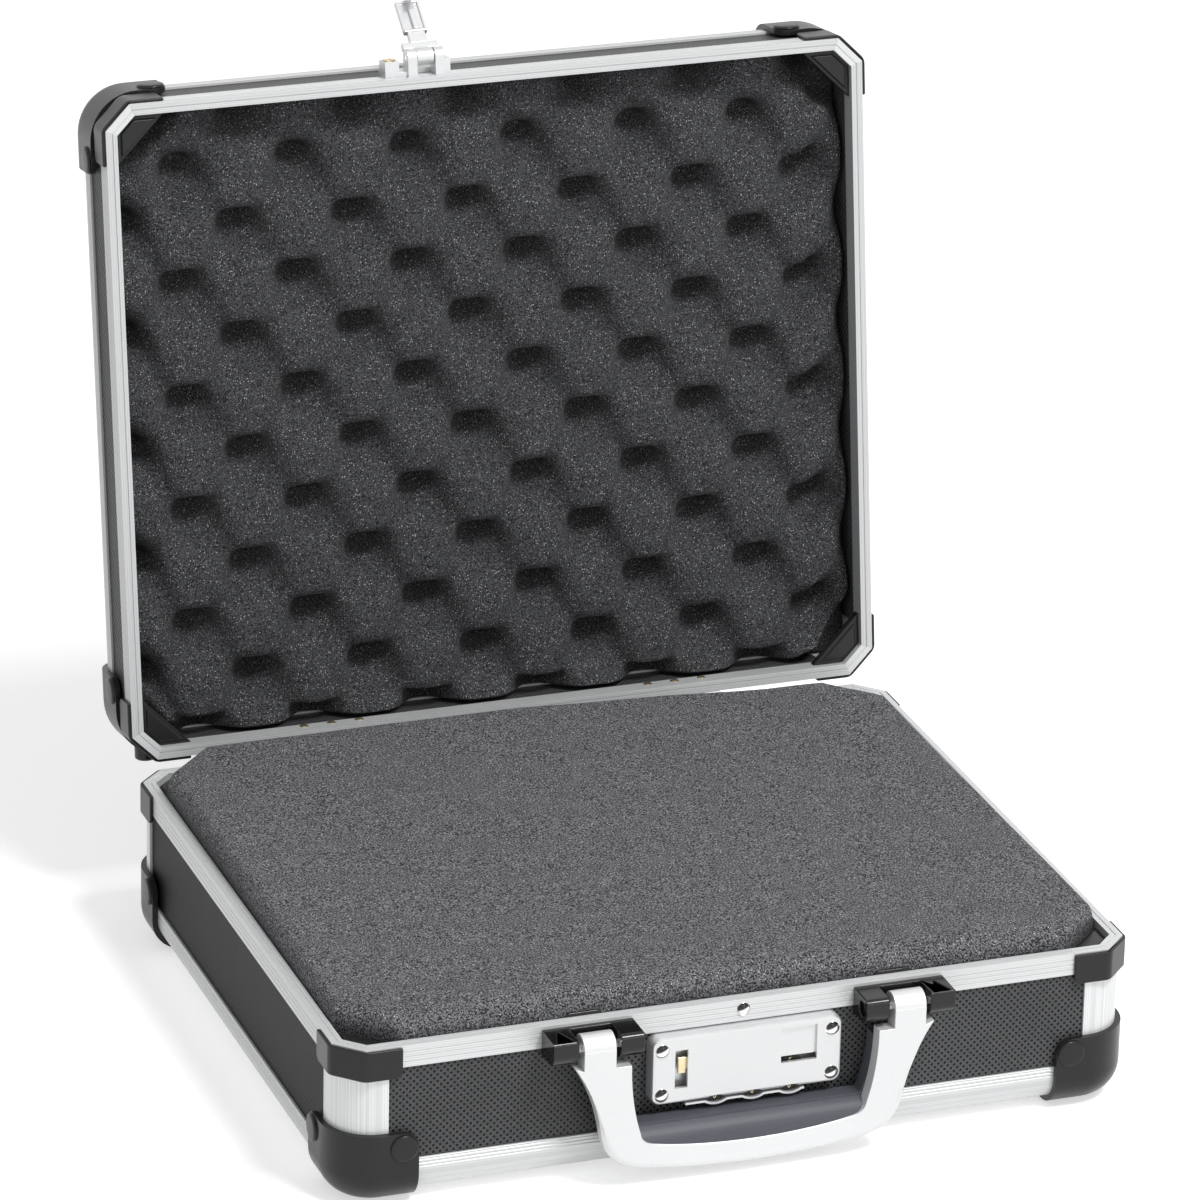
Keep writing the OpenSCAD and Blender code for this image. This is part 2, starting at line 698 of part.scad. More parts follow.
module hinge_knuckle(x, length, r_bore) {
    difference() {
        rod_x(x, length, knuckle_r, hinge_y, hinge_z);
        rod_x(x - 1, length + 2, r_bore, hinge_y, hinge_z);
    }
}
module leaf_plate(z0, z1) {
    box([-hinge_w / 2, hinge_w / 2], [hd, hd + leaf_t], [z0, z1]);
}
module leaf_tab(x, length, z0, z1, r_bore) {
    difference() {
        union() {
            rod_x(x, length, knuckle_r, hinge_y, hinge_z);
            box([x, x + length], [hd + 0.6, hd + leaf_t + 0.6], [z0, z1]);
        }
        rod_x(x - 1, length + 2, r_bore, hinge_y, hinge_z);
    }
}
outer_knuckle = 12;
middle_knuckle = hinge_w - 2 * outer_knuckle - 0.6;
module hinge_base_leaves() color(zinc) centred() difference() {
    for (s = [-1, 1]) translate([s * hinge_x, 0, 0]) {
        leaf_plate(base_h - rim_leg, base_h - 3.1);
        for (x = [-hinge_w / 2, hinge_w / 2 - outer_knuckle])
            leaf_tab(x, outer_knuckle, base_h - 4, hinge_z, hinge_pin_r + 0.02);
    }
    hinge_rivet_holes(base_h - rivet_drop);
}
module hinge_lid_leaves() color(zinc) centred() open_lid() difference() {
    for (s = [-1, 1]) translate([s * hinge_x, 0, 0]) {
        leaf_plate(base_h + seam + 3.1, base_h + seam + rim_leg);
        leaf_tab(-middle_knuckle / 2, middle_knuckle, hinge_z, base_h + seam + 4, hinge_pin_r + 0.06);
    }
    hinge_rivet_holes(base_h + seam + rivet_drop);
}
module hinge_pins() color(zinc) centred() for (s = [-1, 1])
    rod_x(s * hinge_x - hinge_w / 2, hinge_w, hinge_pin_r, hinge_y, hinge_z);
module hinge_base_rivets() color(brass) centred() hinge_rivets(base_h - rivet_drop);
module hinge_lid_rivets() color(brass) centred() open_lid() hinge_rivets(base_h + seam + rivet_drop);

// Lid shell

module lid_top_panel() color(cover_grey) centred() as_lid() flat_panel();
module lid_front_panel() color(cover_grey) centred() as_lid() long_panel(lid_h);
module lid_back_panel() color(cover_grey) centred() as_lid() difference() {
    rotate([0, 0, 180]) long_panel(lid_h);
    hinge_rivet_holes(lid_h - rivet_drop);
}
module lid_side_panels() color(cover_grey) centred() as_lid() side_panels(lid_h);
module lid_edge_profiles() color(aluminium) centred() as_lid() edge_profiles();
module lid_corner_posts() color(aluminium) centred() as_lid() corner_posts(lid_h);
module lid_rim_front() color(aluminium) centred() as_lid() rim_piece(0, lid_h);
module lid_rim_right() color(aluminium) centred() as_lid() rim_piece(2, lid_h);
module lid_rim_back() color(aluminium) centred() as_lid() difference() {
    rim_piece(4, lid_h);
    hinge_rivet_holes(lid_h - rivet_drop);
}
module lid_rim_left() color(aluminium) centred() as_lid() rim_piece(6, lid_h);
module lid_rim_corners() color(aluminium) centred() as_lid() rim_corner_pieces(lid_h);
module lid_rim_caps() color(black) centred() as_lid() rim_caps(lid_h);
module lid_corner_caps() color(black) centred() as_lid() corner_caps(lid_h);
module lid_cap_studs() color(black) centred() as_lid() cap_studs();
module lid_rear_feet() color(black) centred() as_lid() rear_feet(lid_h);
module lid_corner_gussets() color(black) centred() as_lid() corner_gussets(lid_h);

// Foam sheet in the lid, a plain block as high as the foam's crests
module lid_foam() color(foam_dark) centred() as_lid() translate([0, 0, foam_floor])
    linear_extrude(lid_h - lid_foam_gap - foam_floor) polygon(octagon(0, foam_cut, foam_x, foam_y));

// Hasp, drawn at its shut place on the shut lid

module hasp_bracket() {
    rim = base_h + seam;
    color(zinc) centred() open_lid() translate([hasp_x, 0, 0]) difference() {
        union() {
            box([-17.5, 11.6], [-hd - 2.2, -hd], [rim + 3.2, rim + 13]);
            box([-17.5, -11.2], [-hd - 6.9, -hd], [rim + 3.2, rim + 11.4]);
            box([8.8, 11.6], [-hd - 6.5, -hd], [rim + 3.2, rim + 10]);
            for (x = [-7.6, 4.6]) {
                rod_x(x, 4.2, hasp_r, hasp_y, hasp_z);
                box([x, x + 4.2], [hasp_y, -hd], [hasp_z - hasp_r, hasp_z + hasp_r]);
            }
        }
        rod_x(-20, 40, hasp_pin_r + 0.02, hasp_y, hasp_z);
        rod_y(-hd - 8, 12, 1.6, -14.4, rim + 7.3);
        rod_y(-hd - 8, 2.1, 2.8, -14.4, rim + 7.3);
        box([-3.4, 4.6], [hasp_y - 6, -hd + 1], [hasp_z - hasp_r - 0.4, hasp_z + hasp_r + 0.4]);
    }
}
module hasp_pin() color(chrome) centred() open_lid()
    rod_x(hasp_x - 7.5, 16.2, hasp_pin_r, hasp_y, hasp_z);
module hasp_screws() color(brass) centred() open_lid()
    translate([hasp_x - 14.4, -hd - 7.4, base_h + seam + 7.3]) rotate([-90, 0, 0]) difference() {
        union() {
            cylinder(h = 1.5, r = 2.7);
            cylinder(h = 6.9, r = 1.55);
        }
        translate([-0.4, -4, -1]) cube([0.8, 8, 1.8]);
    }
module hasp_flap() {
    rim = base_h + seam;
    inner_face = hasp_y + 0.35;
    outer_face = inner_face - 2.5;
    tip = hasp_z - hasp_len;
    fin = [-2.6, 1.2];
    fin_end = lock_front + 4.5;
    nose_y = lock_front + lock_wall;
    color(zinc) centred() open_lid() translate([hasp_x, hasp_y, hasp_z]) rotate([-hasp_open, 0, 0])
        translate([0, -hasp_y, -hasp_z]) difference() {
            union() {
                rod_x(-3.1, 7.4, hasp_r, hasp_y, hasp_z);
                box([-3.1, 4.3], [outer_face, inner_face], [rim + 1.4, hasp_z]);
                box([-7.6, 8.3], [outer_face, inner_face], [rim - 2, rim + 1.4]);
                box([-4.6, 5.8], [outer_face, inner_face], [rim - 7.5, rim - 2]);
                box([-6.7, 7.9], [outer_face, inner_face], [tip, rim - 7.5]);
                box(fin, [inner_face, fin_end], [tip + 0.1, rim - 16.9]);
            }
            rod_x(-20, 40, hasp_pin_r + 0.06, hasp_y, hasp_z);
            box([fin[0] + 1.3, fin[1] + 1], [nose_y - 0.3, nose_y + 1.8],
                [tip - 1, catch_z + catch_h / 2 + 0.4]);
        }
}

base_floor_panel();
base_front_panel();
base_back_panel();
base_side_panels();
base_edge_profiles();
base_corner_posts();
base_rim_front();
base_rim_back();
base_rim_left();
base_rim_right();
base_rim_corners();
base_rim_caps();
base_corner_caps();
base_cap_studs();
base_rear_feet();
base_corner_gussets();
base_foam();
lock_cover();
lock_base_plate();
front_rivets();
dial_pins();
handle_bracket_left();
handle_bracket_right();
bracket_clips();
handle_pins();
hinge_base_leaves();
hinge_pins();
hinge_base_rivets();
lid_top_panel();
lid_front_panel();
lid_back_panel();
lid_side_panels();
lid_edge_profiles();
lid_corner_posts();
lid_rim_front();
lid_rim_back();
lid_rim_left();
lid_rim_right();
lid_rim_corners();
lid_rim_caps();
lid_corner_caps();
lid_cap_studs();
lid_rear_feet();
lid_corner_gussets();
lid_foam();
hinge_lid_leaves();
hinge_lid_rivets();
hasp_bracket();
hasp_pin();
hasp_screws();
hasp_flap();
handle_frame();
handle_grip();
lock_button();
lock_catch();
dial_left();
dial_middle();
dial_right();
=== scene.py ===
import json
import math
import bpy
import bmesh
from mathutils import Matrix, Vector, noise

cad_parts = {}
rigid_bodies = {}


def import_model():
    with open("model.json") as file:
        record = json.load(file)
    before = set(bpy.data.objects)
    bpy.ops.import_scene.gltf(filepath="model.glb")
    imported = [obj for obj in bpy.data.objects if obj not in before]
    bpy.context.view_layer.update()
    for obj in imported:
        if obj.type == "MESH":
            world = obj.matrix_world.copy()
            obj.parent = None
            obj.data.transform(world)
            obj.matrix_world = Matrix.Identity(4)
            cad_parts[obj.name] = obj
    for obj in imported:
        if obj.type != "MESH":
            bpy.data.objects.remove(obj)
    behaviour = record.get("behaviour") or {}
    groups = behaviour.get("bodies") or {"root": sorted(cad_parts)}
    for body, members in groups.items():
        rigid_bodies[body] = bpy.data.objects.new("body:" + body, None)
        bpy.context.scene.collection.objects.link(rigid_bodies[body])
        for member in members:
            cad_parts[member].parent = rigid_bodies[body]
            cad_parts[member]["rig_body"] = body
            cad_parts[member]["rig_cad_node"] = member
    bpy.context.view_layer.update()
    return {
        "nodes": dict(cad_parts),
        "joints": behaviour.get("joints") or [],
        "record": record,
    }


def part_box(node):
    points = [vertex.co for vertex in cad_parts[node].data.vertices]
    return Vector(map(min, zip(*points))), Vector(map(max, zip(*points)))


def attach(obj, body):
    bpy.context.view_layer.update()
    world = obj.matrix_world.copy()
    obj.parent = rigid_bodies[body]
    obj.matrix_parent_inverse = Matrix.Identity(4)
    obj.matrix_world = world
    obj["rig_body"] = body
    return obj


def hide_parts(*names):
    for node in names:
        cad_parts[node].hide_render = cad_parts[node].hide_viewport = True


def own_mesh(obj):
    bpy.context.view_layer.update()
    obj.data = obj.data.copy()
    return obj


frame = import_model()
nodes = frame["nodes"]
joints = {joint["name"]: joint for joint in frame["joints"]}
bodyOf = {node: body for body, members in frame["record"]["behaviour"]["bodies"].items()
          for node in members}
slotOf = {row["node"]: row["material_slot"] for row in frame["record"]["subparts"]}
mm = 0.001
print("stage: frame loaded,", len(nodes), "nodes")

# The lid's own frame: shut, it lies on the base; the joint's range says how far it stands open
lidHinge = Vector(joints["lid_hinge"]["pos_m"])
lidOpen = math.radians(joints["lid_hinge"]["range_deg"][1])
lidTurn = Matrix.Translation(lidHinge) @ Matrix.Rotation(-lidOpen, 4, "X") @ Matrix.Translation(-lidHinge)
lidUnturn = lidTurn.inverted()


# Small helpers for objects and edit mode

def pickNone():
    bpy.ops.object.select_all(action="DESELECT")


def pickOnly(obj):
    pickNone()
    obj.select_set(True)
    bpy.context.view_layer.objects.active = obj


def editAll(obj):
    pickOnly(obj)
    bpy.ops.object.mode_set(mode="EDIT")
    bpy.ops.mesh.select_all(action="SELECT")


def leaveEdit():
    bpy.ops.object.mode_set(mode="OBJECT")


def selectWhere(obj, kind, test):
    leaveEdit()
    mesh = obj.data
    for part in (mesh.vertices, mesh.edges, mesh.polygons):
        part.foreach_set("select", [False] * len(part))
    for item in mesh.edges if kind == "EDGE" else mesh.polygons:
        item.select = test(item)
    bpy.ops.object.mode_set(mode="EDIT")
    bpy.ops.mesh.select_mode(type=kind)


def applyModifier(obj, kind, **values):
    pickOnly(obj)
    modifier = obj.modifiers.new(kind.lower(), kind)
    for name, value in values.items():
        setattr(modifier, name, value)
    bpy.ops.object.modifier_apply(modifier=modifier.name)


def bakePlace(obj):
    pickOnly(obj)
    bpy.ops.object.transform_apply(location=True, rotation=True, scale=True)


def activeObject():
    return bpy.context.view_layer.objects.active


def addBox(middle, size):
    pickNone()
    bpy.ops.mesh.primitive_cube_add(size=1, location=middle)
    box = activeObject()
    box.scale = size
    bakePlace(box)
    return box


def addCylinder(middle, radius, depth, turn, sides):
    pickNone()
    bpy.ops.mesh.primitive_cylinder_add(vertices=sides, radius=radius, depth=depth, location=middle,
                                        rotation=turn)
    cylinder = activeObject()
    bakePlace(cylinder)
    return cylinder


def extrudeBy(x, y, z):
    bpy.ops.mesh.extrude_region_move(TRANSFORM_OT_translate={"value": (x, y, z)})


def bevelEdges(obj, width, steps, degrees=30):
    limit = math.radians(degrees)
    applyModifier(obj, "BEVEL", width=width, segments=steps, limit_method="ANGLE", angle_limit=limit)


def cutAway(obj, cutter):
    applyModifier(obj, "BOOLEAN", object=cutter, operation="DIFFERENCE", solver="EXACT")
    bpy.data.objects.remove(cutter, do_unlink=True)


def joinInto(kept, parts):
    pickNone()
    for part in parts:
        part.select_set(True)
    bpy.context.view_layer.objects.active = kept
    bpy.ops.object.join()


# The open edges of a mesh in edit mode
def selectOpenEdges():
    bpy.ops.mesh.select_mode(type="EDGE")
    bpy.ops.mesh.select_all(action="DESELECT")
    bpy.ops.mesh.select_non_manifold()


def closeAndFaceOut():
    bpy.ops.mesh.edge_face_add()
    bpy.ops.mesh.select_all(action="SELECT")
    bpy.ops.mesh.normals_make_consistent(inside=False)
    leaveEdit()


# A lid node's points with the lid shut, and the lowest and highest corner round some points
def shutPoints(node):
    return [lidUnturn @ vertex.co for vertex in nodes[node].data.vertices]


def boxRound(points):
    return tuple(Vector(pick(point[axis] for point in points) for axis in range(3)) for pick in (min, max))


def clamp(value):
    return max(0.0, min(1.0, value))


def smooth(obj, degrees=35, weighted=True):
    pickOnly(obj)
    bpy.ops.object.shade_smooth_by_angle(angle=math.radians(degrees))
    if weighted:
        applyModifier(obj, "WEIGHTED_NORMAL", keep_sharp=True)


def give(obj, material):
    obj.data.materials.clear()
    obj.data.materials.append(material)


def finishPiece(obj, name, body, slot, material, *stoodFor):
    obj.name = name
    obj.data.name = name
    give(obj, material)
    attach(obj, body)
    if stoodFor:
        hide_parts(*stoodFor)


# The finished piece that stands for one CAD node, with its body and material
def finishNode(obj, node, name):
    finishPiece(obj, name, bodyOf[node], slotOf[node], materialFor(node), node)


# Colours

def grey(value):
    return (value,) * 3 + (1,)


def dimmed(colour, share):
    return tuple(share * part for part in colour[:3]) + (1,)


# Small helpers for shader nodes

# A number or colour is set on a socket, and another socket is joined to it
def feed(tree, socket, value):
    if isinstance(value, (int, float, tuple)):
        socket.default_value = value
    else:
        tree.links.new(value, socket)


def math2(tree, operation, first, second=None, held=False):
    node = tree.nodes.new("ShaderNodeMath")
    node.operation = operation
    node.use_clamp = held
    feed(tree, node.inputs[0], first)
    if second is not None:
        feed(tree, node.inputs[1], second)
    return node.outputs[0]


def mapRange(tree, value, low, high, toLow=0.0, toHigh=1.0, smoothly=True):
    node = tree.nodes.new("ShaderNodeMapRange")
    node.interpolation_type = "SMOOTHSTEP" if smoothly else "LINEAR"
    names = ("Value", "From Min", "From Max", "To Min", "To Max")
    for name, number in zip(names, (value, low, high, toLow, toHigh)):
        feed(tree, node.inputs[name], number)
    return node.outputs[0]


def mixColour(tree, factor, first, second):
    node = tree.nodes.new("ShaderNodeMix")
    node.data_type = "RGBA"
    sockets = (node.inputs["Factor"], node.inputs[6], node.inputs[7])
    for socket, value in zip(sockets, (factor, first, second)):
        feed(tree, socket, value)
    return node.outputs[2]


def noiseAt(tree, vector, scale, detail, rough):
    node = tree.nodes.new("ShaderNodeTexNoise")
    for name, value in (("Vector", vector), ("Scale", scale), ("Detail", detail), ("Roughness", rough)):
        feed(tree, node.inputs[name], value)
    return node.outputs["Fac"]


def attributeOf(tree, name):
    node = tree.nodes.new("ShaderNodeAttribute")
    node.attribute_name = name
    return node.outputs["Fac"]


def axesOf(tree, vector):
    node = tree.nodes.new("ShaderNodeSeparateXYZ")
    tree.links.new(vector, node.inputs[0])
    return node.outputs


# Each value times its share, added up
def blendOf(tree, *pairs):
    terms = [math2(tree, "MULTIPLY", value, share) for value, share in pairs]
    total = terms.pop()
    while terms:
        total = math2(tree, "ADD", terms.pop(), total)
    return total


# One where a value stands at a whole number of steps, minus one half way between
def waveOf(tree, value, step):
    turns = math2(tree, "DIVIDE", value, step)
    return math2(tree, "COSINE", math2(tree, "MULTIPLY", turns, 2 * math.pi))


def makeGroup(name, inputs, outputs):
    tree = bpy.data.node_groups.new(name, "ShaderNodeTree")
    for socketName, kind, value in inputs:
        socket = tree.interface.new_socket(name=socketName, in_out="INPUT", socket_type="NodeSocket" + kind)
        if value is not None:
            socket.default_value = value
    for socketName, kind in outputs:
        tree.interface.new_socket(name=socketName, in_out="OUTPUT", socket_type="NodeSocket" + kind)
    return tree, tree.nodes.new("NodeGroupInput"), tree.nodes.new("NodeGroupOutput")


# Colour between shade and full and an uneven roughness, both led by one blend of textures
def leadBy(tree, given, out, blend, limits, height):
    factor = mapRange(tree, blend, *limits)
    colour = mixColour(tree, factor, given.outputs["Shade"], given.outputs["Colour"])
    tree.links.new(colour, out.inputs["Colour"])
    offset = math2(tree, "MULTIPLY", math2(tree, "SUBTRACT", blend, 0.5), given.outputs["Spread"])
    tree.links.new(math2(tree, "ADD", given.outputs["Roughness"], offset, True), out.inputs["Roughness"])
    tree.links.new(height, out.inputs["Height"])


# Shared textures. Noise scales are per metre, shares say how much of each texture is blended in,
# and limits say between which values of the blend the colour changes.
grainTexture = {"grainShare": 0.55, "cloudShare": 0.45, "limits": (0.38, 0.62)}


# Fine cast or moulded grain: mottled colour, uneven sheen and a small bump
def makeGrainGroup():
    look = grainTexture
    tree, given, out = makeGroup(
        "surfaceGrain",
        [("Vector", "Vector", None), ("Colour", "Color", grey(0.5)), ("Shade", "Color", grey(0.4)),
         ("Grain Scale", "Float", 900.0), ("Cloud Scale", "Float", 25.0),
         ("Roughness", "Float", 0.4), ("Spread", "Float", 0.1)],
        [("Colour", "Color"), ("Roughness", "Float"), ("Height", "Float")])
    grain = noiseAt(tree, given.outputs["Vector"], given.outputs["Grain Scale"], 3.0, 0.6)
    clouds = noiseAt(tree, given.outputs["Vector"], given.outputs["Cloud Scale"], 4.0, 0.55)
    blend = blendOf(tree, (grain, look["grainShare"]), (clouds, look["cloudShare"]))
    leadBy(tree, given, out, blend, look["limits"], grain)
    return tree


drawnTexture = {"blasting": 2600.0, "clouds": 18.0, "lineShare": 0.5, "blastShare": 0.25, "cloudShare": 0.25,
                "limits": (0.36, 0.62)}


# Die lines along a drawn aluminium bar, under a fine matt blasting
def makeDrawnGroup():
    look = drawnTexture
    tree, given, out = makeGroup(
        "drawnMetal",
        [("Vector", "Vector", None), ("Along", "Vector", None), ("Colour", "Color", grey(0.7)),
         ("Shade", "Color", grey(0.6)), ("Roughness", "Float", 0.3), ("Spread", "Float", 0.15)],
        [("Colour", "Color"), ("Roughness", "Float"), ("Height", "Float")])
    lines = noiseAt(tree, given.outputs["Along"], 1.0, 4.0, 0.65)
    blasting = noiseAt(tree, given.outputs["Vector"], look["blasting"], 2.0, 0.6)
    clouds = noiseAt(tree, given.outputs["Vector"], look["clouds"], 3.0, 0.5)
    blend = blendOf(tree, (lines, look["lineShare"]), (blasting, look["blastShare"]),
                    (clouds, look["cloudShare"]))
    leadBy(tree, given, out, blend, look["limits"], blend)
    return tree


ribTexture = {"step": 1.05 * mm, "limits": (0.35, 0.95), "strength": 0.8}


# Fine grooves along a bar, from the two coordinates across it
def makeRibGroup():
    look = ribTexture
    tree, given, out = makeGroup(
        "drawnRibs", [("First", "Float", 0.0), ("Second", "Float", 0.0), ("Step", "Float", look["step"])],
        [("Groove", "Float")])
    grooves = [mapRange(tree, waveOf(tree, given.outputs[name], given.outputs["Step"]), *look["limits"])
               for name in ("First", "Second")]
    both = math2(tree, "ADD", grooves[0], grooves[1], True)
    tree.links.new(math2(tree, "MULTIPLY", both, look["strength"]), out.inputs["Groove"])
    return tree


dotTexture = {"stepU": 2.83 * mm, "stepV": 2.96 * mm, "soft": 0.14}


# Staggered grid of small dots, from two flat coordinates in metres
def makeDotGroup():
    look = dotTexture
    tree, given, out = makeGroup(
        "dotGrid",
        [("U", "Float", 0.0), ("V", "Float", 0.0), ("Step U", "Float", look["stepU"]),
         ("Step V", "Float", look["stepV"]), ("Edge", "Float", 0.45)],
        [("Mask", "Float"), ("Height", "Float")])
    waves = [waveOf(tree, given.outputs[name], given.outputs["Step " + name]) for name in "UV"]
    both = math2(tree, "MULTIPLY", waves[0], waves[1])
    low = math2(tree, "SUBTRACT", given.outputs["Edge"], look["soft"])
    high = math2(tree, "ADD", given.outputs["Edge"], look["soft"])
    tree.links.new(mapRange(tree, both, low, high), out.inputs["Mask"])
    tree.links.new(both, out.inputs["Height"])
    return tree


foamTexture = {"wideScale": 0.12, "cellShare": 0.93, "wideShare": 0.07, "limits": (0.45, 0.55),
               "speckScale": 0.75, "speckLimits": (0.16, 0.34)}


# Open cell foam: pores, lit cell walls and scattered bright specks
def makeFoamGroup():
    look = foamTexture
    tree, given, out = makeGroup(
        "foamCells",
        [("Vector", "Vector", None), ("Dark", "Color", grey(0.02)), ("Light", "Color", grey(0.2)),
         ("Speck", "Color", grey(0.6)), ("Cell Scale", "Float", 900.0), ("Speck Share", "Float", 0.1),
         ("Depth", "Float", 1.0)],
        [("Colour", "Color"), ("Height", "Float")])
    cells = noiseAt(tree, given.outputs["Vector"], given.outputs["Cell Scale"], 3.0, 0.75)
    wideScale = math2(tree, "MULTIPLY", given.outputs["Cell Scale"], look["wideScale"])
    wide = noiseAt(tree, given.outputs["Vector"], wideScale, 3.0, 0.6)
    blend = blendOf(tree, (cells, look["cellShare"]), (wide, look["wideShare"]))
    lit = mapRange(tree, blend, *look["limits"])
    body = mixColour(tree, lit, given.outputs["Dark"], given.outputs["Light"])
    points = tree.nodes.new("ShaderNodeTexVoronoi")
    points.feature = "F1"
    tree.links.new(given.outputs["Vector"], points.inputs["Vector"])
    speckScale = math2(tree, "MULTIPLY", given.outputs["Cell Scale"], look["speckScale"])
    tree.links.new(speckScale, points.inputs["Scale"])
    near = mapRange(tree, points.outputs["Distance"], *look["speckLimits"], 1.0, 0.0)
    pick = tree.nodes.new("ShaderNodeSeparateColor")
    tree.links.new(points.outputs["Color"], pick.inputs[0])
    chosen = math2(tree, "LESS_THAN", pick.outputs[0], given.outputs["Speck Share"])
    amount = math2(tree, "MULTIPLY", math2(tree, "MULTIPLY", near, chosen), pick.outputs[1])
    # The colour is scaled by the painted shade that each foam block carries
    sunk = tree.nodes.new("ShaderNodeVectorMath")
    sunk.operation = "SCALE"
    tree.links.new(mixColour(tree, amount, body, given.outputs["Speck"]), sunk.inputs[0])
    tree.links.new(given.outputs["Depth"], sunk.inputs["Scale"])
    tree.links.new(sunk.outputs[0], out.inputs["Colour"])
    tree.links.new(blend, out.inputs["Height"])
    return tree


groups = {"grain": makeGrainGroup(), "drawn": makeDrawnGroup(), "ribs": makeRibGroup(),
          "dots": makeDotGroup(), "foam": makeFoamGroup()}


def startMaterial(name, **sockets):
    material = bpy.data.materials.new(name)
    material.use_nodes = True
    tree = material.node_tree
    shader = tree.nodes["Principled BSDF"]
    for socket, value in sockets.items():
        shader.inputs[socket.replace("_", " ")].default_value = value
    place = tree.nodes.new("ShaderNodeTexCoord")
    return material, tree, shader, place.outputs["Object"]


def placeGroup(tree, name, **values):
    node = tree.nodes.new("ShaderNodeGroup")
    node.node_tree = groups[name]
    for socketName, value in values.items():
        feed(tree, node.inputs[socketName.replace("_", " ")], value)
    return node


def bumpInto(tree, shader, height, strength, distance):
    bump = tree.nodes.new("ShaderNodeBump")
    bump.inputs["Strength"].default_value = strength
    bump.inputs["Distance"].default_value = distance
    tree.links.new(height, bump.inputs["Height"])
    tree.links.new(bump.outputs["Normal"], shader.inputs["Normal"])


def turned(tree, vector, onLid):
    if not onLid:
        return vector
    node = tree.nodes.new("ShaderNodeMapping")
    node.inputs["Rotation"].default_value = (lidOpen, 0, 0)
    tree.links.new(vector, node.inputs["Vector"])
    return node.outputs[0]


# Plain cast, moulded or plated finishes; each names what differs from plainFinish
plainFinish = {"tint": (0.985, 0.992, 1.0), "metal": 0.0, "rough": 0.34, "spread": 0.08, "shade": 0.97,
               "clouds": 22.0, "bump": 0.08, "lift": 0.02, "gloss": 0.5}
grainFinishes = {
    "satin_zinc": {"colour": 0.73, "metal": 0.55, "shade": 0.965, "grain": 1500},
    "rimCorner": {"colour": 0.80, "tint": (0.98, 0.993, 1.0), "metal": 0.2, "rough": 0.36, "grain": 1300},
    "handle_metal": {"colour": 0.83, "metal": 0.35, "rough": 0.36, "grain": 1700},
    "bright_chrome": {"colour": 0.86, "tint": (1.0, 1.0, 1.0), "metal": 1.0, "rough": 0.14, "spread": 0.05,
                      "shade": 0.95, "grain": 400, "bump": 0.02, "lift": 0.01},
    # Rivet heads darken towards their tops with a painted dark reflection
    "rivetHead": {"colour": 0.88, "tint": (1.0, 0.99, 0.97), "metal": 1.0, "rough": 0.14, "spread": 0.05,
                  "shade": 0.95, "grain": 400, "bump": 0.02, "lift": 0.01, "paintedReflection": 0.05,
                  "paintedReflectionLimits": (0.15, 0.55)},
    "brass": {"colour": 0.80, "tint": (1.0, 0.86, 0.55), "metal": 0.85, "rough": 0.26, "spread": 0.15,
              "shade": 0.85, "grain": 900},
    "black_plastic": {"colour": 0.020, "tint": (0.97, 0.99, 1.0), "rough": 0.30, "spread": 0.12,
                      "shade": 0.75, "grain": 1300, "bump": 0.2, "lift": 0.04, "gloss": 0.30},
    "gloss_plastic": {"colour": 0.010, "tint": (0.97, 0.99, 1.0), "rough": 0.15, "shade": 0.7,
                      "grain": 700, "bump": 0.05, "lift": 0.03, "gloss": 0.4},
    "dial_plastic": {"colour": 0.012, "tint": (0.9, 0.96, 1.0), "rough": 0.3, "spread": 0.1,
                     "shade": 0.7, "grain": 900, "bump": 0.1, "lift": 0.03, "gloss": 0.3},
    "grip_rubber": {"colour": 0.105, "tint": (0.90, 0.96, 1.12), "rough": 0.46, "spread": 0.12,
                    "shade": 0.86, "grain": 1500, "bump": 0.22, "lift": 0.05, "gloss": 0.35},
}


def makeGrainFinish(name, changes):
    look = {**plainFinish, **changes}
    colour = dimmed(look["tint"], look["colour"])
    material, tree, shader, place = startMaterial(name, Metallic=look["metal"],
                                                  Specular_IOR_Level=look["gloss"])
    grain = placeGroup(tree, "grain", Vector=place, Colour=colour, Shade=dimmed(colour, look["shade"]),
                       Grain_Scale=look["grain"], Cloud_Scale=look["clouds"],
                       Roughness=look["rough"], Spread=look["spread"])
    result = grain.outputs["Colour"]
    # Where a piece carries it, a painted dark reflection darkens the colour
    if "paintedReflection" in look:
        paintedReflection = mapRange(tree, attributeOf(tree, "paintedReflection"), *look["paintedReflectionLimits"])
        result = mixColour(tree, paintedReflection, result, grey(look["paintedReflection"]))
    tree.links.new(result, shader.inputs["Base Color"])
    tree.links.new(grain.outputs["Roughness"], shader.inputs["Roughness"])
    bumpInto(tree, shader, grain.outputs["Height"], look["bump"], look["lift"] * mm)
    return material


# Drawn aluminium, with its die lines along X, Y or the upright, on the base or on the lid.
# The lines turn with the piece where its sideRun attribute is one.
# One drawn aluminium is coloured three ways: the lid's darker colour is a painted shade, the posts' lighter
# colour a painted light
drawnLook = {"base": 0.84, "lid": 0.72, "post": 0.93, "tint": (0.98, 0.993, 1.0), "shade": 0.93,
             "metal": 0.2, "rough": 0.38, "spread": 0.12, "lineScale": 6.0, "acrossScale": 2400.0,
             "ribStep": 1.05 * mm, "ribShade": 0.80, "blastBump": 0.3, "bump": 0.35, "lift": 0.05 * mm}


# The same place with X and Y changed over where the sideRun attribute is one
def followSideRun(tree, place):
    parts = axesOf(tree, place)
    crossed = tree.nodes.new("ShaderNodeCombineXYZ")
    for axis, other in ((0, 1), (1, 0), (2, 2)):
        tree.links.new(parts[axis], crossed.inputs[other])
    choice = tree.nodes.new("ShaderNodeMix")
    choice.data_type = "VECTOR"
    tree.links.new(attributeOf(tree, "sideRun"), choice.inputs["Factor"])
    tree.links.new(place, choice.inputs[4])
    tree.links.new(crossed.outputs[0], choice.inputs[5])
    return choice.outputs[1]


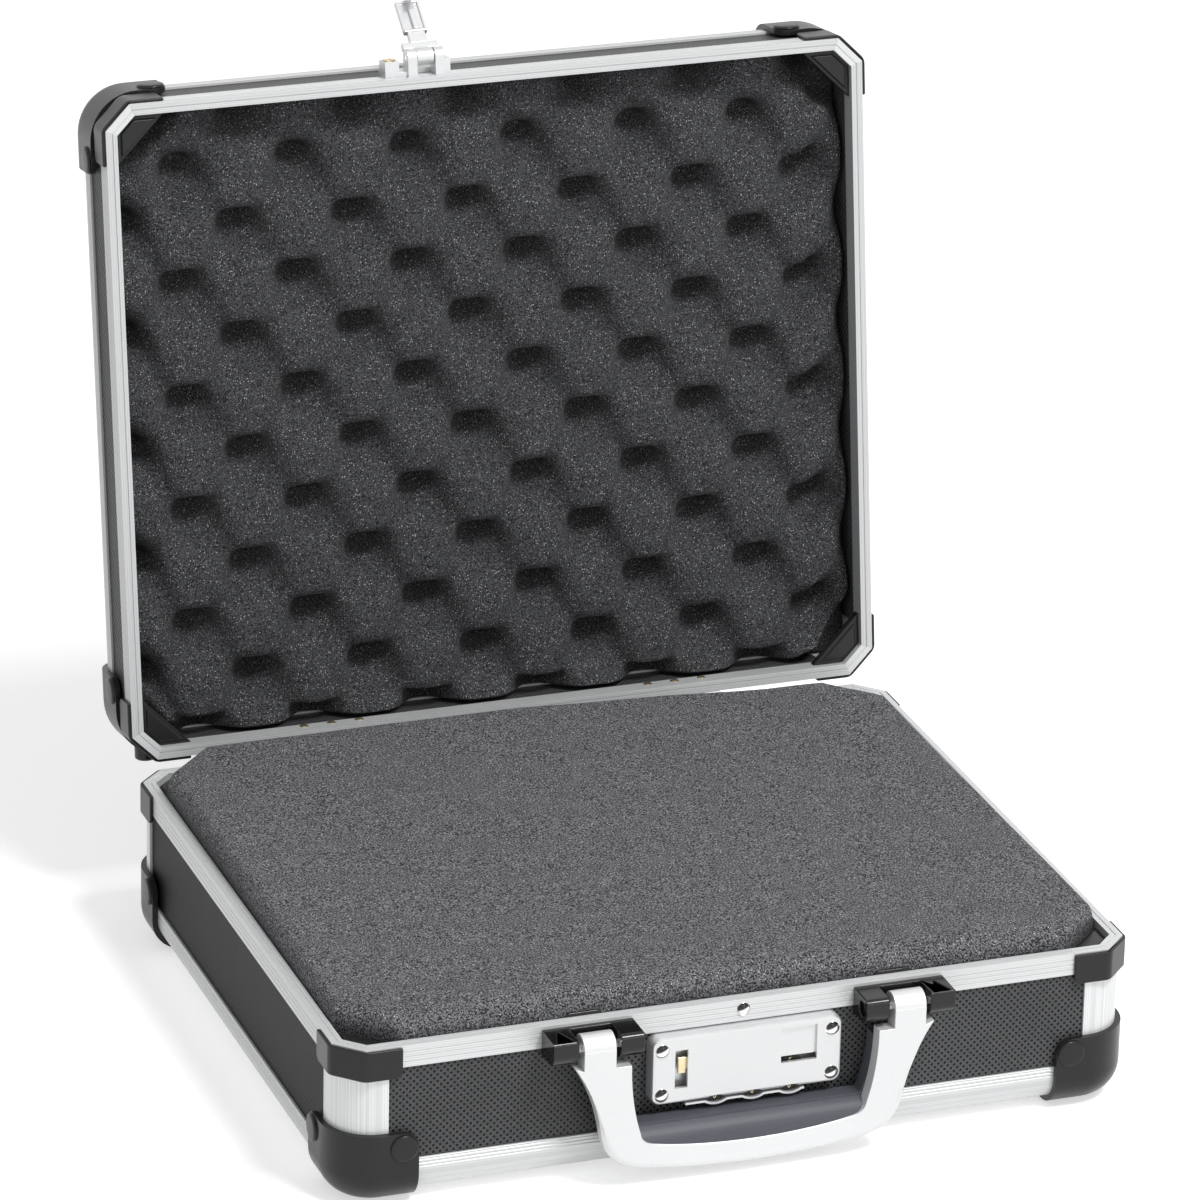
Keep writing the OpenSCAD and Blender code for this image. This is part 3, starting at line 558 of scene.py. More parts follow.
def makeDrawnFinish(name, along, onLid):
    look = drawnLook
    material, tree, shader, place = startMaterial(name, Metallic=look["metal"])
    place = turned(tree, place, onLid)
    if along == "X":
        place = followSideRun(tree, place)
    stretch = tree.nodes.new("ShaderNodeMapping")
    scales = (look["lineScale"] if axis == along else look["acrossScale"] for axis in "XYZ")
    stretch.inputs["Scale"].default_value = tuple(scales)
    tree.links.new(place, stretch.inputs["Vector"])
    # Painted shade on the lid, painted light on the posts
    colour = look["lid"] if onLid else look["post"] if along == "Z" else look["base"]
    bright = dimmed(look["tint"], colour)
    drawn = placeGroup(tree, "drawn", Vector=place, Along=stretch.outputs[0], Colour=bright,
                       Shade=dimmed(bright, look["shade"]), Roughness=look["rough"], Spread=look["spread"])
    split = axesOf(tree, place)
    across = [split["XYZ".index(axis)] for axis in "XYZ" if axis != along]
    ribs = placeGroup(tree, "ribs", First=across[0], Second=across[1], Step=look["ribStep"])
    dark = dimmed(bright, look["ribShade"])
    ribbed = mixColour(tree, ribs.outputs["Groove"], drawn.outputs["Colour"], dark)
    tree.links.new(ribbed, shader.inputs["Base Color"])
    tree.links.new(drawn.outputs["Roughness"], shader.inputs["Roughness"])
    blasting = math2(tree, "MULTIPLY", drawn.outputs["Height"], look["blastBump"])
    height = math2(tree, "SUBTRACT", blasting, ribs.outputs["Groove"])
    bumpInto(tree, shader, height, look["bump"], look["lift"])
    return material


# Covered board: dark sheet with a fine staggered grid of black dots pressed into it
panelLook = {"ground": (0.104, 0.106, 0.110, 1), "lidSide": (0.150, 0.152, 0.158, 1),
             "baseSidePaintedShade": (0.014, 0.0145, 0.015, 1), "dot": grey(0.0), "shade": 0.7, "rough": 0.42,
             "spread": 0.2, "grain": 1100.0, "clouds": 14.0, "gloss": 0.2, "sideGloss": 0.06, "edge": 0.38,
             "grainBump": 0.15, "bump": 0.8, "depth": 0.2 * mm}


def makePanelFinish(name, plane, onLid):
    look = panelLook
    ground, gloss = look["ground"], look["gloss"]
    # The side panels take their own ground colour: a painted shade on the base's sides, a painted light on
    # the lid's sides
    if plane == "YZ":
        ground, gloss = look["lidSide"] if onLid else look["baseSidePaintedShade"], look["sideGloss"]
    material, tree, shader, place = startMaterial(name, Specular_IOR_Level=gloss)
    place = turned(tree, place, onLid)
    split = axesOf(tree, place)
    dots = placeGroup(tree, "dots", U=split[plane[0]], V=split[plane[1]], Edge=look["edge"])
    grain = placeGroup(tree, "grain", Vector=place, Colour=ground, Shade=dimmed(ground, look["shade"]),
                       Grain_Scale=look["grain"], Cloud_Scale=look["clouds"],
                       Roughness=look["rough"], Spread=look["spread"])
    colour = mixColour(tree, dots.outputs["Mask"], grain.outputs["Colour"], look["dot"])
    tree.links.new(colour, shader.inputs["Base Color"])
    tree.links.new(grain.outputs["Roughness"], shader.inputs["Roughness"])
    raised = math2(tree, "MULTIPLY", grain.outputs["Height"], look["grainBump"])
    bumpInto(tree, shader, math2(tree, "SUBTRACT", raised, dots.outputs["Mask"]), look["bump"], look["depth"])
    return material


foamLooks = {
    "base_foam": {"dark": (0.008, 0.008, 0.009, 1), "light": (0.232, 0.234, 0.250, 1),
                  "speck": (0.90, 0.90, 0.93, 1), "cells": 1350.0, "share": 0.32, "rough": 0.97,
                  "bump": 0.3, "lift": 0.3},
    "lid_foam": {"dark": (0.002, 0.002, 0.002, 1), "light": (0.078, 0.080, 0.086, 1),
                 "speck": (0.60, 0.60, 0.62, 1), "cells": 1500.0, "share": 0.45, "rough": 0.97,
                 "bump": 0.4, "lift": 0.3},
}


# The shade attribute, painted as each block is shaped, darkens the folds between the foam's bumps
def makeFoamFinish(name, look):
    material, tree, shader, place = startMaterial(name, Roughness=look["rough"])
    foam = placeGroup(tree, "foam", Vector=place, Dark=look["dark"], Light=look["light"], Speck=look["speck"],
                      Cell_Scale=look["cells"], Speck_Share=look["share"], Depth=attributeOf(tree, "shade"))
    tree.links.new(foam.outputs["Colour"], shader.inputs["Base Color"])
    bumpInto(tree, shader, foam.outputs["Height"], look["bump"], look["lift"] * mm)
    return material


materials = {name: makeGrainFinish(name, look) for name, look in grainFinishes.items()}
for side, onLid in (("base", False), ("lid", True)):
    for along in "XYZ":
        materials[f"{side}Drawn{along}"] = makeDrawnFinish(f"{side}Drawn{along}", along, onLid)
    for plane in ("XZ", "YZ", "XY"):
        materials[f"{side}Panel{plane}"] = makePanelFinish(f"{side}Panel{plane}", plane, onLid)
    materials[side + "_foam"] = makeFoamFinish(side + "Foam", foamLooks[side + "_foam"])
print("stage: materials made,", len(materials))


# Which finish each node takes, on its own side; what is not named here goes by its slot
finishEndings = {"side_panels": "PanelYZ", "front_panel": "PanelXZ", "back_panel": "PanelXZ",
                 "floor_panel": "PanelXY", "top_panel": "PanelXY", "rim_left": "DrawnY",
                 "rim_right": "DrawnY", "corner_posts": "DrawnZ"}


def materialFor(node):
    side = "lid" if node.startswith("lid_") else "base"
    if node.endswith("rim_corners"):
        return materials["rimCorner"]
    for ending, finish in finishEndings.items():
        if node.endswith(ending):
            return materials[side + finish]
    return materials[side + "DrawnX" if slotOf[node] == "aluminium" else slotOf[node]]


# Each CAD piece is copied, cleaned and given real rounded edges, and the copy stands for its node.
# The numbers are the rounding in millimetres and the steps it is made in. Edges sharper than
# roundFrom degrees are rounded, and on domed heads those sharper than domedFrom.
edgeRounding = {
    "base_rim_front": (0.25, 2), "base_rim_back": (0.25, 2), "base_rim_left": (0.25, 2),
    "base_rim_right": (0.25, 2), "base_rim_corners": (0.2, 2), "base_edge_profiles": (0.15, 1),
    "base_corner_posts": (0.15, 1), "base_rim_caps": (0.6, 3), "base_corner_caps": (0.7, 3),
    "base_cap_studs": (0.0, 0), "base_rear_feet": (0.3, 2), "base_corner_gussets": (0.5, 3),
    "lock_base_plate": (0.12, 1), "lock_cover": (0.25, 3), "dial_left": (0.12, 1), "dial_middle": (0.12, 1),
    "dial_right": (0.12, 1), "bracket_clips": (0.5, 3), "hinge_base_leaves": (0.15, 1),
    "hinge_lid_leaves": (0.15, 1), "hinge_pins": (0.1, 1), "handle_pins": (0.2, 2), "hasp_bracket": (0.5, 3),
    "hasp_screws": (0.0, 0), "hasp_pin": (0.1, 1), "lock_catch": (0.15, 1), "hinge_base_rivets": (0.0, 0),
    "hinge_lid_rivets": (0.0, 0),
}
for node in [name for name in edgeRounding if name.startswith("base_")]:
    lidNode = node.replace("base_", "lid_")
    if lidNode in nodes:
        edgeRounding[lidNode] = edgeRounding[node]
roundFrom, domedFrom = 38, 62
domedNodes = ("base_cap_studs", "lid_cap_studs", "hasp_screws", "hinge_base_rivets", "hinge_lid_rivets")


def cleanCopy(node):
    pickOnly(nodes[node])
    bpy.ops.object.duplicate()
    obj = activeObject()
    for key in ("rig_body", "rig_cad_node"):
        if key in obj:
            del obj[key]
    obj.parent = None
    editAll(obj)
    bpy.ops.mesh.remove_doubles(threshold=0.01 * mm)
    bpy.ops.mesh.dissolve_limited(angle_limit=math.radians(0.8))
    leaveEdit()
    return obj


def roundEdges(obj, width, steps, degrees):
    if steps:
        bevelEdges(obj, width, steps, degrees)
    smooth(obj, degrees)


# Rounding that differs from edge to edge: widthOf gets an edge's middle point and its direction
def roundByEdge(obj, widest, steps, widthOf, degrees=35):
    mesh = obj.data
    work = bmesh.new()
    work.from_mesh(mesh)
    weights = []
    for edge in work.edges:
        sharp = len(edge.link_faces) == 2 and edge.calc_face_angle() > math.radians(degrees)
        middle = (edge.verts[0].co + edge.verts[1].co) / 2
        direction = (edge.verts[1].co - edge.verts[0].co).normalized()
        weights.append(widthOf(middle, direction) / widest if sharp else 0.0)
    work.free()
    weight = mesh.attributes.new("bevel_weight_edge", "FLOAT", "EDGE")
    weight.data.foreach_set("value", weights)
    applyModifier(obj, "BEVEL", width=widest, segments=steps, limit_method="WEIGHT",
                  use_clamp_overlap=False, offset_type="OFFSET", miter_outer="MITER_ARC")
    smooth(obj, degrees)


# The clips stand a hair behind the rim, clear of the lid when it is shut. The edge profiles' two
# side runs are told apart by how far out they lie, as a share of the reach.
clipSetBack = 0.12 * mm
sideRunFrom = 0.85
for node, (width, steps) in edgeRounding.items():
    piece = cleanCopy(node)
    if node == "bracket_clips":
        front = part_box(node)[0].y
        for vertex in piece.data.vertices:
            if vertex.co.y < front + clipSetBack:
                vertex.co.y += clipSetBack
    roundEdges(piece, width * mm, steps, domedFrom if node in domedNodes else roundFrom)
    if node.endswith("edge_profiles"):
        reach = max(abs(vertex.co.x) for vertex in piece.data.vertices)
        sideRun = piece.data.attributes.new("sideRun", "FLOAT", "FACE")
        for face in piece.data.polygons:
            sideRun.data[face.index].value = 1.0 if abs(face.center.x) > sideRunFrom * reach else 0.0
    finishNode(piece, node, node + "-finished")
print("stage: edges rounded")


# Handle: a deep rounding outside, a small one inside, and a soft grip
handleLook = {"outside": 3.6 * mm, "inside": 0.9 * mm, "small": 0.3 * mm, "grip": 0.6 * mm,
              "sideFrom": 57 * mm, "shoulder": 42 * mm, "fullFrom": 18 * mm, "footFrom": 12.5 * mm,
              "near": 0.3 * mm}


def makeHandle():
    look = handleLook
    low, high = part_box("handle_frame")

    def frameWidth(middle, direction):
        if abs(middle.y - low.y) > look["near"] or abs(direction.y) > 0.9:
            return look["small"]
        side = abs(middle.x) > look["sideFrom"] and middle.z < look["shoulder"]
        if side or middle.z < look["footFrom"]:
            taper = clamp((look["shoulder"] - middle.z) / (look["shoulder"] - look["fullFrom"]))
            return look["small"] + (look["outside"] - look["small"]) * taper
        return look["inside"] if middle.z < look["fullFrom"] else look["small"]

    frameCopy = cleanCopy("handle_frame")
    roundByEdge(frameCopy, look["outside"], 6, frameWidth)
    for vertex in frameCopy.data.vertices:
        vertex.co.y = max(vertex.co.y, low.y)
    finishNode(frameCopy, "handle_frame", "handleFrame")
    grip = cleanCopy("handle_grip")
    roundEdges(grip, look["grip"], 4, 45)
    finishNode(grip, "handle_grip", "handleGrip")


# Brackets: the lobes' upper front edges are well rounded
bracketLook = {"front": 2.6 * mm, "small": 0.45 * mm, "near": 0.3 * mm}


def makeBracket(side):
    look = bracketLook
    node = "handle_bracket_" + side
    low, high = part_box(node)

    def width(middle, direction):
        atFront = abs(middle.y - low.y) < look["near"] and abs(middle.z - high.z) < look["near"]
        return look["front"] if atFront and abs(direction.x) > 0.9 else look["small"]

    bracket = cleanCopy(node)
    roundByEdge(bracket, look["front"], 5, width)
    finishNode(bracket, node, node + "-finished")


# Hasp flap: a tray shaped plate on a narrow neck, with a rib that becomes the tongue.
# It is shaped hanging down on the shut lid, heights counted down from the pin, then opened.
# Link, flange, neck, ridge and plate give half the width and the upper and lower height.
haspLook = {"barrel": 3.6 * mm, "barrelWidth": 7.4 * mm, "thick": 2.5 * mm, "inner": 0.35 * mm,
            "link": (3.7 * mm, 0.0, 5.0 * mm), "flange": (7.9 * mm, 4.1 * mm, 7.5 * mm),
            "neck": (3.9 * mm, 7.0 * mm, 13.4 * mm), "ridge": (5.2 * mm, 12.6 * mm, 14.0 * mm),
            "ridgeRise": 0.6 * mm, "plate": (5.2 * mm, 13.0 * mm, 29.0 * mm), "border": 1.0 * mm,
            "sunk": 0.9 * mm, "rib": (-0.6 * mm, 1.7 * mm), "ribHeight": 0.8 * mm, "ribFrom": 14.0 * mm,
            "ribShort": 1.0 * mm, "ribSunk": 0.4 * mm, "tongueFrom": 24.0 * mm, "tongueSunk": 0.6 * mm,
            "slim": 0.8 * mm, "web": -0.1 * mm, "step": 0.03 * mm, "catchRoom": 0.3 * mm, "beyond": 10 * mm,
            "shift": 0.05 * mm, "soft": 0.4 * mm}


def haspSlab(half, top, bottom, front, back, middle=0.0, soft=haspLook["soft"]):
    slab = addBox((middle, (front + back) / 2, -(top + bottom) / 2), (2 * half, back - front, bottom - top))
    if soft:
        bevelEdges(slab, soft, 3)
    return slab


# The brass catch holds the tongue by a groove in its right side, behind which the tongue is slimmer
def hollowForCatch(tongue, pinY, pinZ, end):
    look = haspLook
    low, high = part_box("lock_catch")
    room, beyond = look["catchRoom"], look["beyond"]
    front, back = low.y - pinY - room, high.y - pinY + room
    for fromX, top, cutBack in ((look["web"], pinZ - high.z - room, back), (look["slim"], 0.0, beyond)):
        half, middle = (beyond - fromX) / 2, (beyond + fromX) / 2
        cutAway(tongue, haspSlab(half, top, end + beyond, front, cutBack, middle, 0.0))


def makeHaspFlap():
    look = haspLook
    pinLow, pinHigh = boxRound(shutPoints("hasp_pin"))
    flapPoints = shutPoints("hasp_flap")
    flapLow, flapHigh = boxRound(flapPoints)
    pinY, pinZ = (pinLow.y + pinHigh.y) / 2, (pinLow.z + pinHigh.z) / 2
    middleX = (flapLow.x + flapHigh.x) / 2 + look["shift"]
    inner, outer = look["inner"], look["inner"] - look["thick"]
    haspOpen = math.radians(joints["hasp_hinge"]["range_deg"][1])
    shut = Matrix.Translation((0, pinY, pinZ)) @ Matrix.Rotation(haspOpen, 4, "X")
    shut = shut @ Matrix.Translation((0, -pinY, -pinZ))
    low, high = boxRound([shut @ point for point in flapPoints])
    tongueBack, tongueEnd = high.y - pinY, pinZ - low.z
    parts = [haspSlab(*look[name], outer, inner) for name in ("link", "flange", "neck")]
    parts.append(haspSlab(*look["ridge"], outer, inner + look["ridgeRise"]))
    plate = haspSlab(*look["plate"], outer, inner, soft=0.0)
    selectWhere(plate, "FACE", lambda face: face.normal.y > 0.9)
    bpy.ops.mesh.inset(thickness=look["border"], depth=0)
    extrudeBy(0, -look["sunk"], 0)
    leaveEdit()
    bevelEdges(plate, look["soft"] / 2, 3)
    parts.append(plate)
    left, right = look["rib"]
    ribHalf, ribMiddle = (right - left) / 2, (right + left) / 2
    parts.append(haspSlab(ribHalf, look["ribFrom"], tongueEnd - look["ribShort"], outer + look["ribSunk"],
                          inner + look["ribHeight"], ribMiddle))
    tongue = haspSlab(ribHalf - look["step"], look["tongueFrom"], tongueEnd, inner - look["tongueSunk"],
                      tongueBack, ribMiddle)
    hollowForCatch(tongue, pinY, pinZ, tongueEnd)
    parts.append(tongue)
    barrel = addCylinder((0, 0, 0), look["barrel"], look["barrelWidth"], (0, math.radians(90), 0), 48)
    bevelEdges(barrel, look["soft"] / 2, 2, 60)
    joinInto(barrel, parts + [barrel])
    barrel.data.transform(lidTurn @ shut.inverted() @ Matrix.Translation((middleX, pinY, pinZ)))
    smooth(barrel, 40)
    finishNode(barrel, "hasp_flap", "haspFlap")


# Push button: round corners, a raised face with a bevelled rim, and a flange behind the cover
buttonLook = {"width": 15.0 * mm, "body": 1.4 * mm, "corner": 2.8 * mm, "proud": 1.0 * mm, "face": 0.80,
              "soft": 0.25 * mm, "setBack": 0.2 * mm, "flangeRise": 13.0 * mm, "flangeWidth": 17.4 * mm,
              "flange": 0.8 * mm, "relief": 0.3 * mm, "reliefFrom": 0.1 * mm, "reliefDepth": 6 * mm}


# The button comes down over the right dial, so both its parts are hollowed there
def hollowOverDial(obj, front):
    look = buttonLook
    low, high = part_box("dial_right")
    middle = ((low.x + high.x) / 2, front + look["reliefDepth"] / 2, (low.z + high.z) / 2)
    radius = (high.x - low.x) / 2 + look["relief"]
    cutAway(obj, addCylinder(middle, radius, look["reliefDepth"], (math.radians(90), 0, 0), 96))


def makeButton():
    look = buttonLook
    low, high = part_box("lock_button")
    middleX, middleZ = (low.x + high.x) / 2, (low.z + high.z) / 2
    back = low.y + look["proud"] + look["setBack"] + look["body"]
    size = (look["width"], look["body"], look["width"])
    button = addBox((middleX, back - look["body"] / 2, middleZ), size)
    points = button.data.vertices

    def runsBack(edge):
        first, second = (points[index].co for index in edge.vertices)
        return abs(first.y - second.y) > 0.1 * mm

    selectWhere(button, "EDGE", runsBack)
    bpy.ops.mesh.bevel(offset=look["corner"], segments=5, affect="EDGES")
    selectWhere(button, "FACE", lambda face: face.normal.y < -0.9)
    extrudeBy(0, -look["proud"], 0)
    bpy.ops.transform.resize(value=(look["face"], 1, look["face"]),
                             center_override=(middleX, back, middleZ))
    leaveEdit()
    bevelEdges(button, look["soft"], 3)
    flange = addBox((middleX, back + look["flange"] / 2, high.z - look["flangeRise"] / 2),
                    (look["flangeWidth"], look["flange"], look["flangeRise"]))
    bevelEdges(flange, look["soft"], 2)
    for part in (button, flange):
        hollowOverDial(part, low.y + look["proud"] + look["reliefFrom"])
    joinInto(button, (button, flange))
    smooth(button, 30)
    finishNode(button, "lock_button", "lockButton")


# Round rivet heads: one is cut from a ball and copied to each place on the lock and on the rim.
# The attribute made here is a painted dark reflection, darkest on what faces up and outwards.
rivetLook = {"radius": 2.9 * mm, "height": 1.15 * mm, "lip": 0.12 * mm, "lift": 0.1 * mm,
             "lockX": 36.4 * mm, "lockZ": (54.6 * mm, 35.0 * mm), "rimZ": 65.5 * mm, "up": 0.9,
             "left": 0.35, "paintedReflection": 1.5, "everywhere": 0.1, "reflectionFadeFrom": 0.85, "reflectionFade": 4}


# Painted dark reflection on a rivet head, fading out near its rim
def rivetTarnish(x, z):
    look = rivetLook
    up = (z * look["up"] - x * look["left"]) / look["radius"]
    out = Vector((x, z)).length / look["radius"]
    fade = max(0.0, out - look["reflectionFadeFrom"]) * look["reflectionFade"]
    return clamp(look["paintedReflection"] * up + look["everywhere"]) * (1 - fade)


def makeRivets():
    look = rivetLook
    ball = (look["radius"] ** 2 + look["height"] ** 2) / (2 * look["height"])
    pickNone()
    bpy.ops.mesh.primitive_uv_sphere_add(segments=40, ring_count=48, radius=ball,
                                         rotation=(math.radians(90), 0, 0))
    first = activeObject()
    bakePlace(first)
    editAll(first)
    bpy.ops.mesh.bisect(plane_co=(0, look["height"] - ball, 0), plane_no=(0, 1, 0), clear_outer=True)
    leaveEdit()
    for vertex in first.data.vertices:
        vertex.co.y += ball - look["height"]
    editAll(first)
    selectOpenEdges()
    extrudeBy(0, look["lip"], 0)
    closeAndFaceOut()
    paintedReflection = first.data.attributes.new("paintedReflection", "FLOAT", "POINT")
    for vertex in first.data.vertices:
        paintedReflection.data[vertex.index].value = rivetTarnish(vertex.co.x, vertex.co.z)
    lockFront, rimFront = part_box("lock_cover")[0].y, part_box("base_rim_front")[0].y
    places = [(x, lockFront, z) for x in (-look["lockX"], look["lockX"]) for z in look["lockZ"]]
    places.append((0, rimFront, look["rimZ"]))
    for index, place in enumerate(places):
        pickOnly(first)
        bpy.ops.object.duplicate()
        rivet = activeObject()
        rivet.data.transform(Matrix.Translation(Vector(place) - Vector((0, look["lift"], 0))))
        smooth(rivet, 45, False)
        stoodFor = ("front_rivets",) if index == 0 else ()
        finishPiece(rivet, f"rivetHead{index + 1}", "case", "bright_chrome", materials["rivetHead"],
                    *stoodFor)
    bpy.data.objects.remove(first, do_unlink=True)


# Dial numbers: plain digits round each dial, upright where the opening shows them
digitLook = {"size": 2.7 * mm, "radius": 5.9 * mm, "proud": 0.04 * mm, "lift": 0.01 * mm}


def makeDigits(dial):
    look = digitLook
    low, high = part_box(dial)
    centre = (low + high) / 2
    made = []
    for digit in range(10):
        angle = math.radians(36 * digit)
        place = Vector((centre.x - look["radius"] * math.sin(angle), low.y - look["lift"],
                        centre.z - look["radius"] * math.cos(angle)))
        bpy.ops.object.text_add(location=(0, 0, 0))
        text = activeObject()
        text.data.body = str(digit)
        text.data.size = look["size"]
        text.data.extrude = look["proud"]
        text.data.resolution_u = 2
        text.data.align_x, text.data.align_y = "CENTER", "CENTER"
        pickOnly(text)
        bpy.ops.object.convert(target="MESH")
        text = activeObject()
        turn = Matrix.Rotation(angle, 4, "Y") @ Matrix.Rotation(math.radians(90), 4, "X")
        text.data.transform(Matrix.Translation(place) @ turn)
        made.append(text)
    joinInto(made[0], made)
    finishPiece(made[0], dial + "-digits", bodyOf[dial], "brass", materials["brass"])


makeHandle()
for side in ("left", "right"):
    makeBracket(side)
makeButton()
makeRivets()
makeHaspFlap()
for dial in ("dial_left", "dial_middle", "dial_right"):
    makeDigits(dial)
print("stage: handle and lock made")


# Foam blocks

baseFoamLook = {"frontRise": -0.5 * mm, "backRise": 3.4 * mm, "rightFall": 5.0 * mm, "fallBy": 0.7,
                "riseBy": 1.6, "crown": 1.0 * mm, "edge": 3.6 * mm, "frontEdge": 12.0 * mm, "drop": 9.5 * mm,
                "cell": 1.4 * mm, "waver": 0.5 * mm, "waverScale": 22, "sideShade": 0.8, "shadeFrom": 0.3,
                "cornerCut": 22 * mm, "keep": 0.95, "fill": 0.9}
lidFoamLook = {"edge": 3.0 * mm, "cell": 1.5 * mm, "stepX": 51.3 * mm, "stepY": 49.2 * mm,
               "pocketX": -6.5 * mm, "pocketY": -27.25 * mm, "depth": 21.0 * mm, "narrow": 2.3,
               "droop": 13.0 * mm, "droopFrom": 20 * mm, "waver": 0.7 * mm, "waverScale": 30,
               "uneven": 1.4 * mm, "unevenScale": 14, "topShade": 1.02, "pocketShade": 0.12,
               "pocketCurve": 0.8, "tuckShade": 0.5, "foldShade": 0.97, "foldAbove": (0.3, 0.2),
               "foldDepth": (0.3, 0.2), "foldAcross": (0.55, 0.25), "cornerCut": 9 * mm,
               "gussetCut": 25 * mm, "tuck": 10 * mm, "tuckOver": 4 * mm, "fill": 0.9}


# Places of the grid lines across a block: close together round its edges, even between them
def foamLines(half, edge, cell, rings=8):
    arc = [edge * (1 - math.cos(ring * math.pi / 2 / rings)) for ring in range(rings + 1)]
    inner = 2 * (half - edge)
    steps = round(inner / cell)
    middle = [-half + edge + inner * step / steps for step in range(1, steps)]
    return [-half + offset for offset in arc] + middle + [half - offset for offset in reversed(arc)]


# A flat grid about the middle, with its four corners cut off
def foamGrid(half, edge, cell, cornerCut):
    linesX, linesY = foamLines(half.x, edge, cell), foamLines(half.y, edge, cell)
    bpy.ops.mesh.primitive_grid_add(x_subdivisions=len(linesX) - 1, y_subdivisions=len(linesY) - 1, size=2)
    obj = activeObject()
    for vertex in obj.data.vertices:
        column = round((vertex.co.x + 1) / 2 * (len(linesX) - 1))
        row = round((vertex.co.y + 1) / 2 * (len(linesY) - 1))
        vertex.co = (linesX[column], linesY[row], 0)
    editAll(obj)
    for sideX in (-1, 1):
        for sideY in (-1, 1):
            bpy.ops.mesh.select_all(action="SELECT")
            bpy.ops.mesh.bisect(plane_co=(sideX * half.x, sideY * (half.y - cornerCut), 0),
                                plane_no=(sideX, sideY, 0), clear_outer=True)
    leaveEdit()
    return obj


# How far a point lies inside a corner's cut, and inside the eight sided outline
def cornerInset(x, y, half, cornerCut):
    return (half.x + half.y - cornerCut - abs(x) - abs(y)) / math.sqrt(2)


def foamInset(x, y, half, cornerCut):
    return max(0.0, min(half.x - abs(x), half.y - abs(y), cornerInset(x, y, half, cornerCut)))


def edgeDrop(inset, edge):
    share = 1 - min(inset / edge, 1.0)
    return edge * (1 - math.sqrt(1 - share * share))


# The open face is drawn out to the far side and closed there
def closeFoam(obj, farHeight):
    editAll(obj)
    selectOpenEdges()
    extrudeBy(0, 0, farHeight)
    leaveEdit()
    for vertex in obj.data.vertices:
        if vertex.select:
            vertex.co.z = farHeight
    bpy.ops.object.mode_set(mode="EDIT")
    closeAndFaceOut()


def noiseNear(x, y, scale, layer):
    return noise.noise(Vector((x * scale, y * scale, layer)))


def makeBaseFoam():
    look = baseFoamLook
    low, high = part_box("base_foam")
    centre, half = (low + high) / 2, (high - low) / 2
    obj = foamGrid(half, look["edge"], look["cell"], look["cornerCut"])
    shades = obj.data.attributes.new("shade", "FLOAT", "POINT")
    for vertex in obj.data.vertices:
        x, y = vertex.co.x, vertex.co.y
        toBack = (y / half.y + 1) / 2
        inset = foamInset(x, y, half, look["cornerCut"])
        drop = look["drop"] / look["edge"] * edgeDrop(inset, look["edge"])
        front = edgeDrop(min(y + half.y, look["frontEdge"]), look["frontEdge"])
        drop = max(drop, front * look["drop"] / look["frontEdge"])
        back = look["backRise"] - look["rightFall"] * clamp(x / half.x / look["fallBy"])
        rise = look["frontRise"] + (back - look["frontRise"]) * min(1.0, toBack * look["riseBy"])
        crown = look["crown"] * (x / half.x) ** 2
        waver = look["waver"] * noiseNear(x, y, look["waverScale"], 3.1)
        vertex.co = (centre.x + x, centre.y + y, high.z + rise - drop - crown + waver)
        shaded = max(0.0, drop / look["drop"] - look["shadeFrom"])
        shades.data[vertex.index].value = 1 - look["sideShade"] * shaded
    closeFoam(obj, low.z)
    smooth(obj, 50, False)
    finishNode(obj, "base_foam", "baseFoamBlock")
    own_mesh(obj)


# Egg crate foam, drawn on the shut lid with its pockets downwards and then turned with the lid
def makeLidFoam():
    look = lidFoamLook
    low, high = boxRound(shutPoints("lid_foam"))
    centre, half = (low + high) / 2, (high - low) / 2
    obj = foamGrid(half, look["edge"], look["cell"], look["cornerCut"])
    shades = obj.data.attributes.new("shade", "FLOAT", "POINT")

    def ramp(value, limits):
        start, length = look[limits]
        return clamp((value - start) / length)

    for vertex in obj.data.vertices:
        x, y = centre.x + vertex.co.x, centre.y + vertex.co.y
        offX = look["uneven"] * noiseNear(x, y, look["unevenScale"], 1.7)
        offY = look["uneven"] * noiseNear(x, y, look["unevenScale"], 5.2)
        turnX = 2 * math.pi * (x + offX - look["pocketX"]) / look["stepX"]
        turnY = 2 * math.pi * (y + offY - look["pocketY"]) / look["stepY"]
        share = ((1 + math.cos(turnX) * math.cos(turnY)) / 2) ** look["narrow"]
        inset = foamInset(vertex.co.x, vertex.co.y, half, look["cornerCut"])
        cornerward = cornerInset(vertex.co.x, vertex.co.y, half, look["gussetCut"])
        tuck = look["tuck"] * clamp(1 - cornerward / look["tuckOver"])
        waver = look["waver"] * (0.5 + 0.5 * noiseNear(x, y, look["waverScale"], 7.7))
        sag = look["droop"] * (1 - share) * min(inset / look["droopFrom"], 1.0)
        height = max(look["depth"] * share, tuck) + edgeDrop(inset, look["edge"]) * (1 - share) + waver
        vertex.co = (x, y + sag, low.z + height)
        above = -math.sin(turnY) * math.copysign(1, math.cos(turnX))
        fold = ramp(above, "foldAbove") * ramp(share, "foldDepth")
        fold *= ramp(abs(math.cos(turnX)), "foldAcross")
        top = look["topShade"] - look["pocketShade"] * share ** look["pocketCurve"]
        top *= 1 - look["tuckShade"] * tuck / look["tuck"]
        shades.data[vertex.index].value = top * (1 - look["foldShade"] * fold)
    closeFoam(obj, high.z)
    obj.data.transform(lidTurn)
    smooth(obj, 80, False)
    finishNode(obj, "lid_foam", "lidFoamSheet")


makeBaseFoam()
makeLidFoam()
print("stage: foam made")

# Nodes that keep their own mesh get their finish
for name, obj in nodes.items():
    if not obj.hide_render:
        give(obj, materialFor(name))


# Floor, light and camera

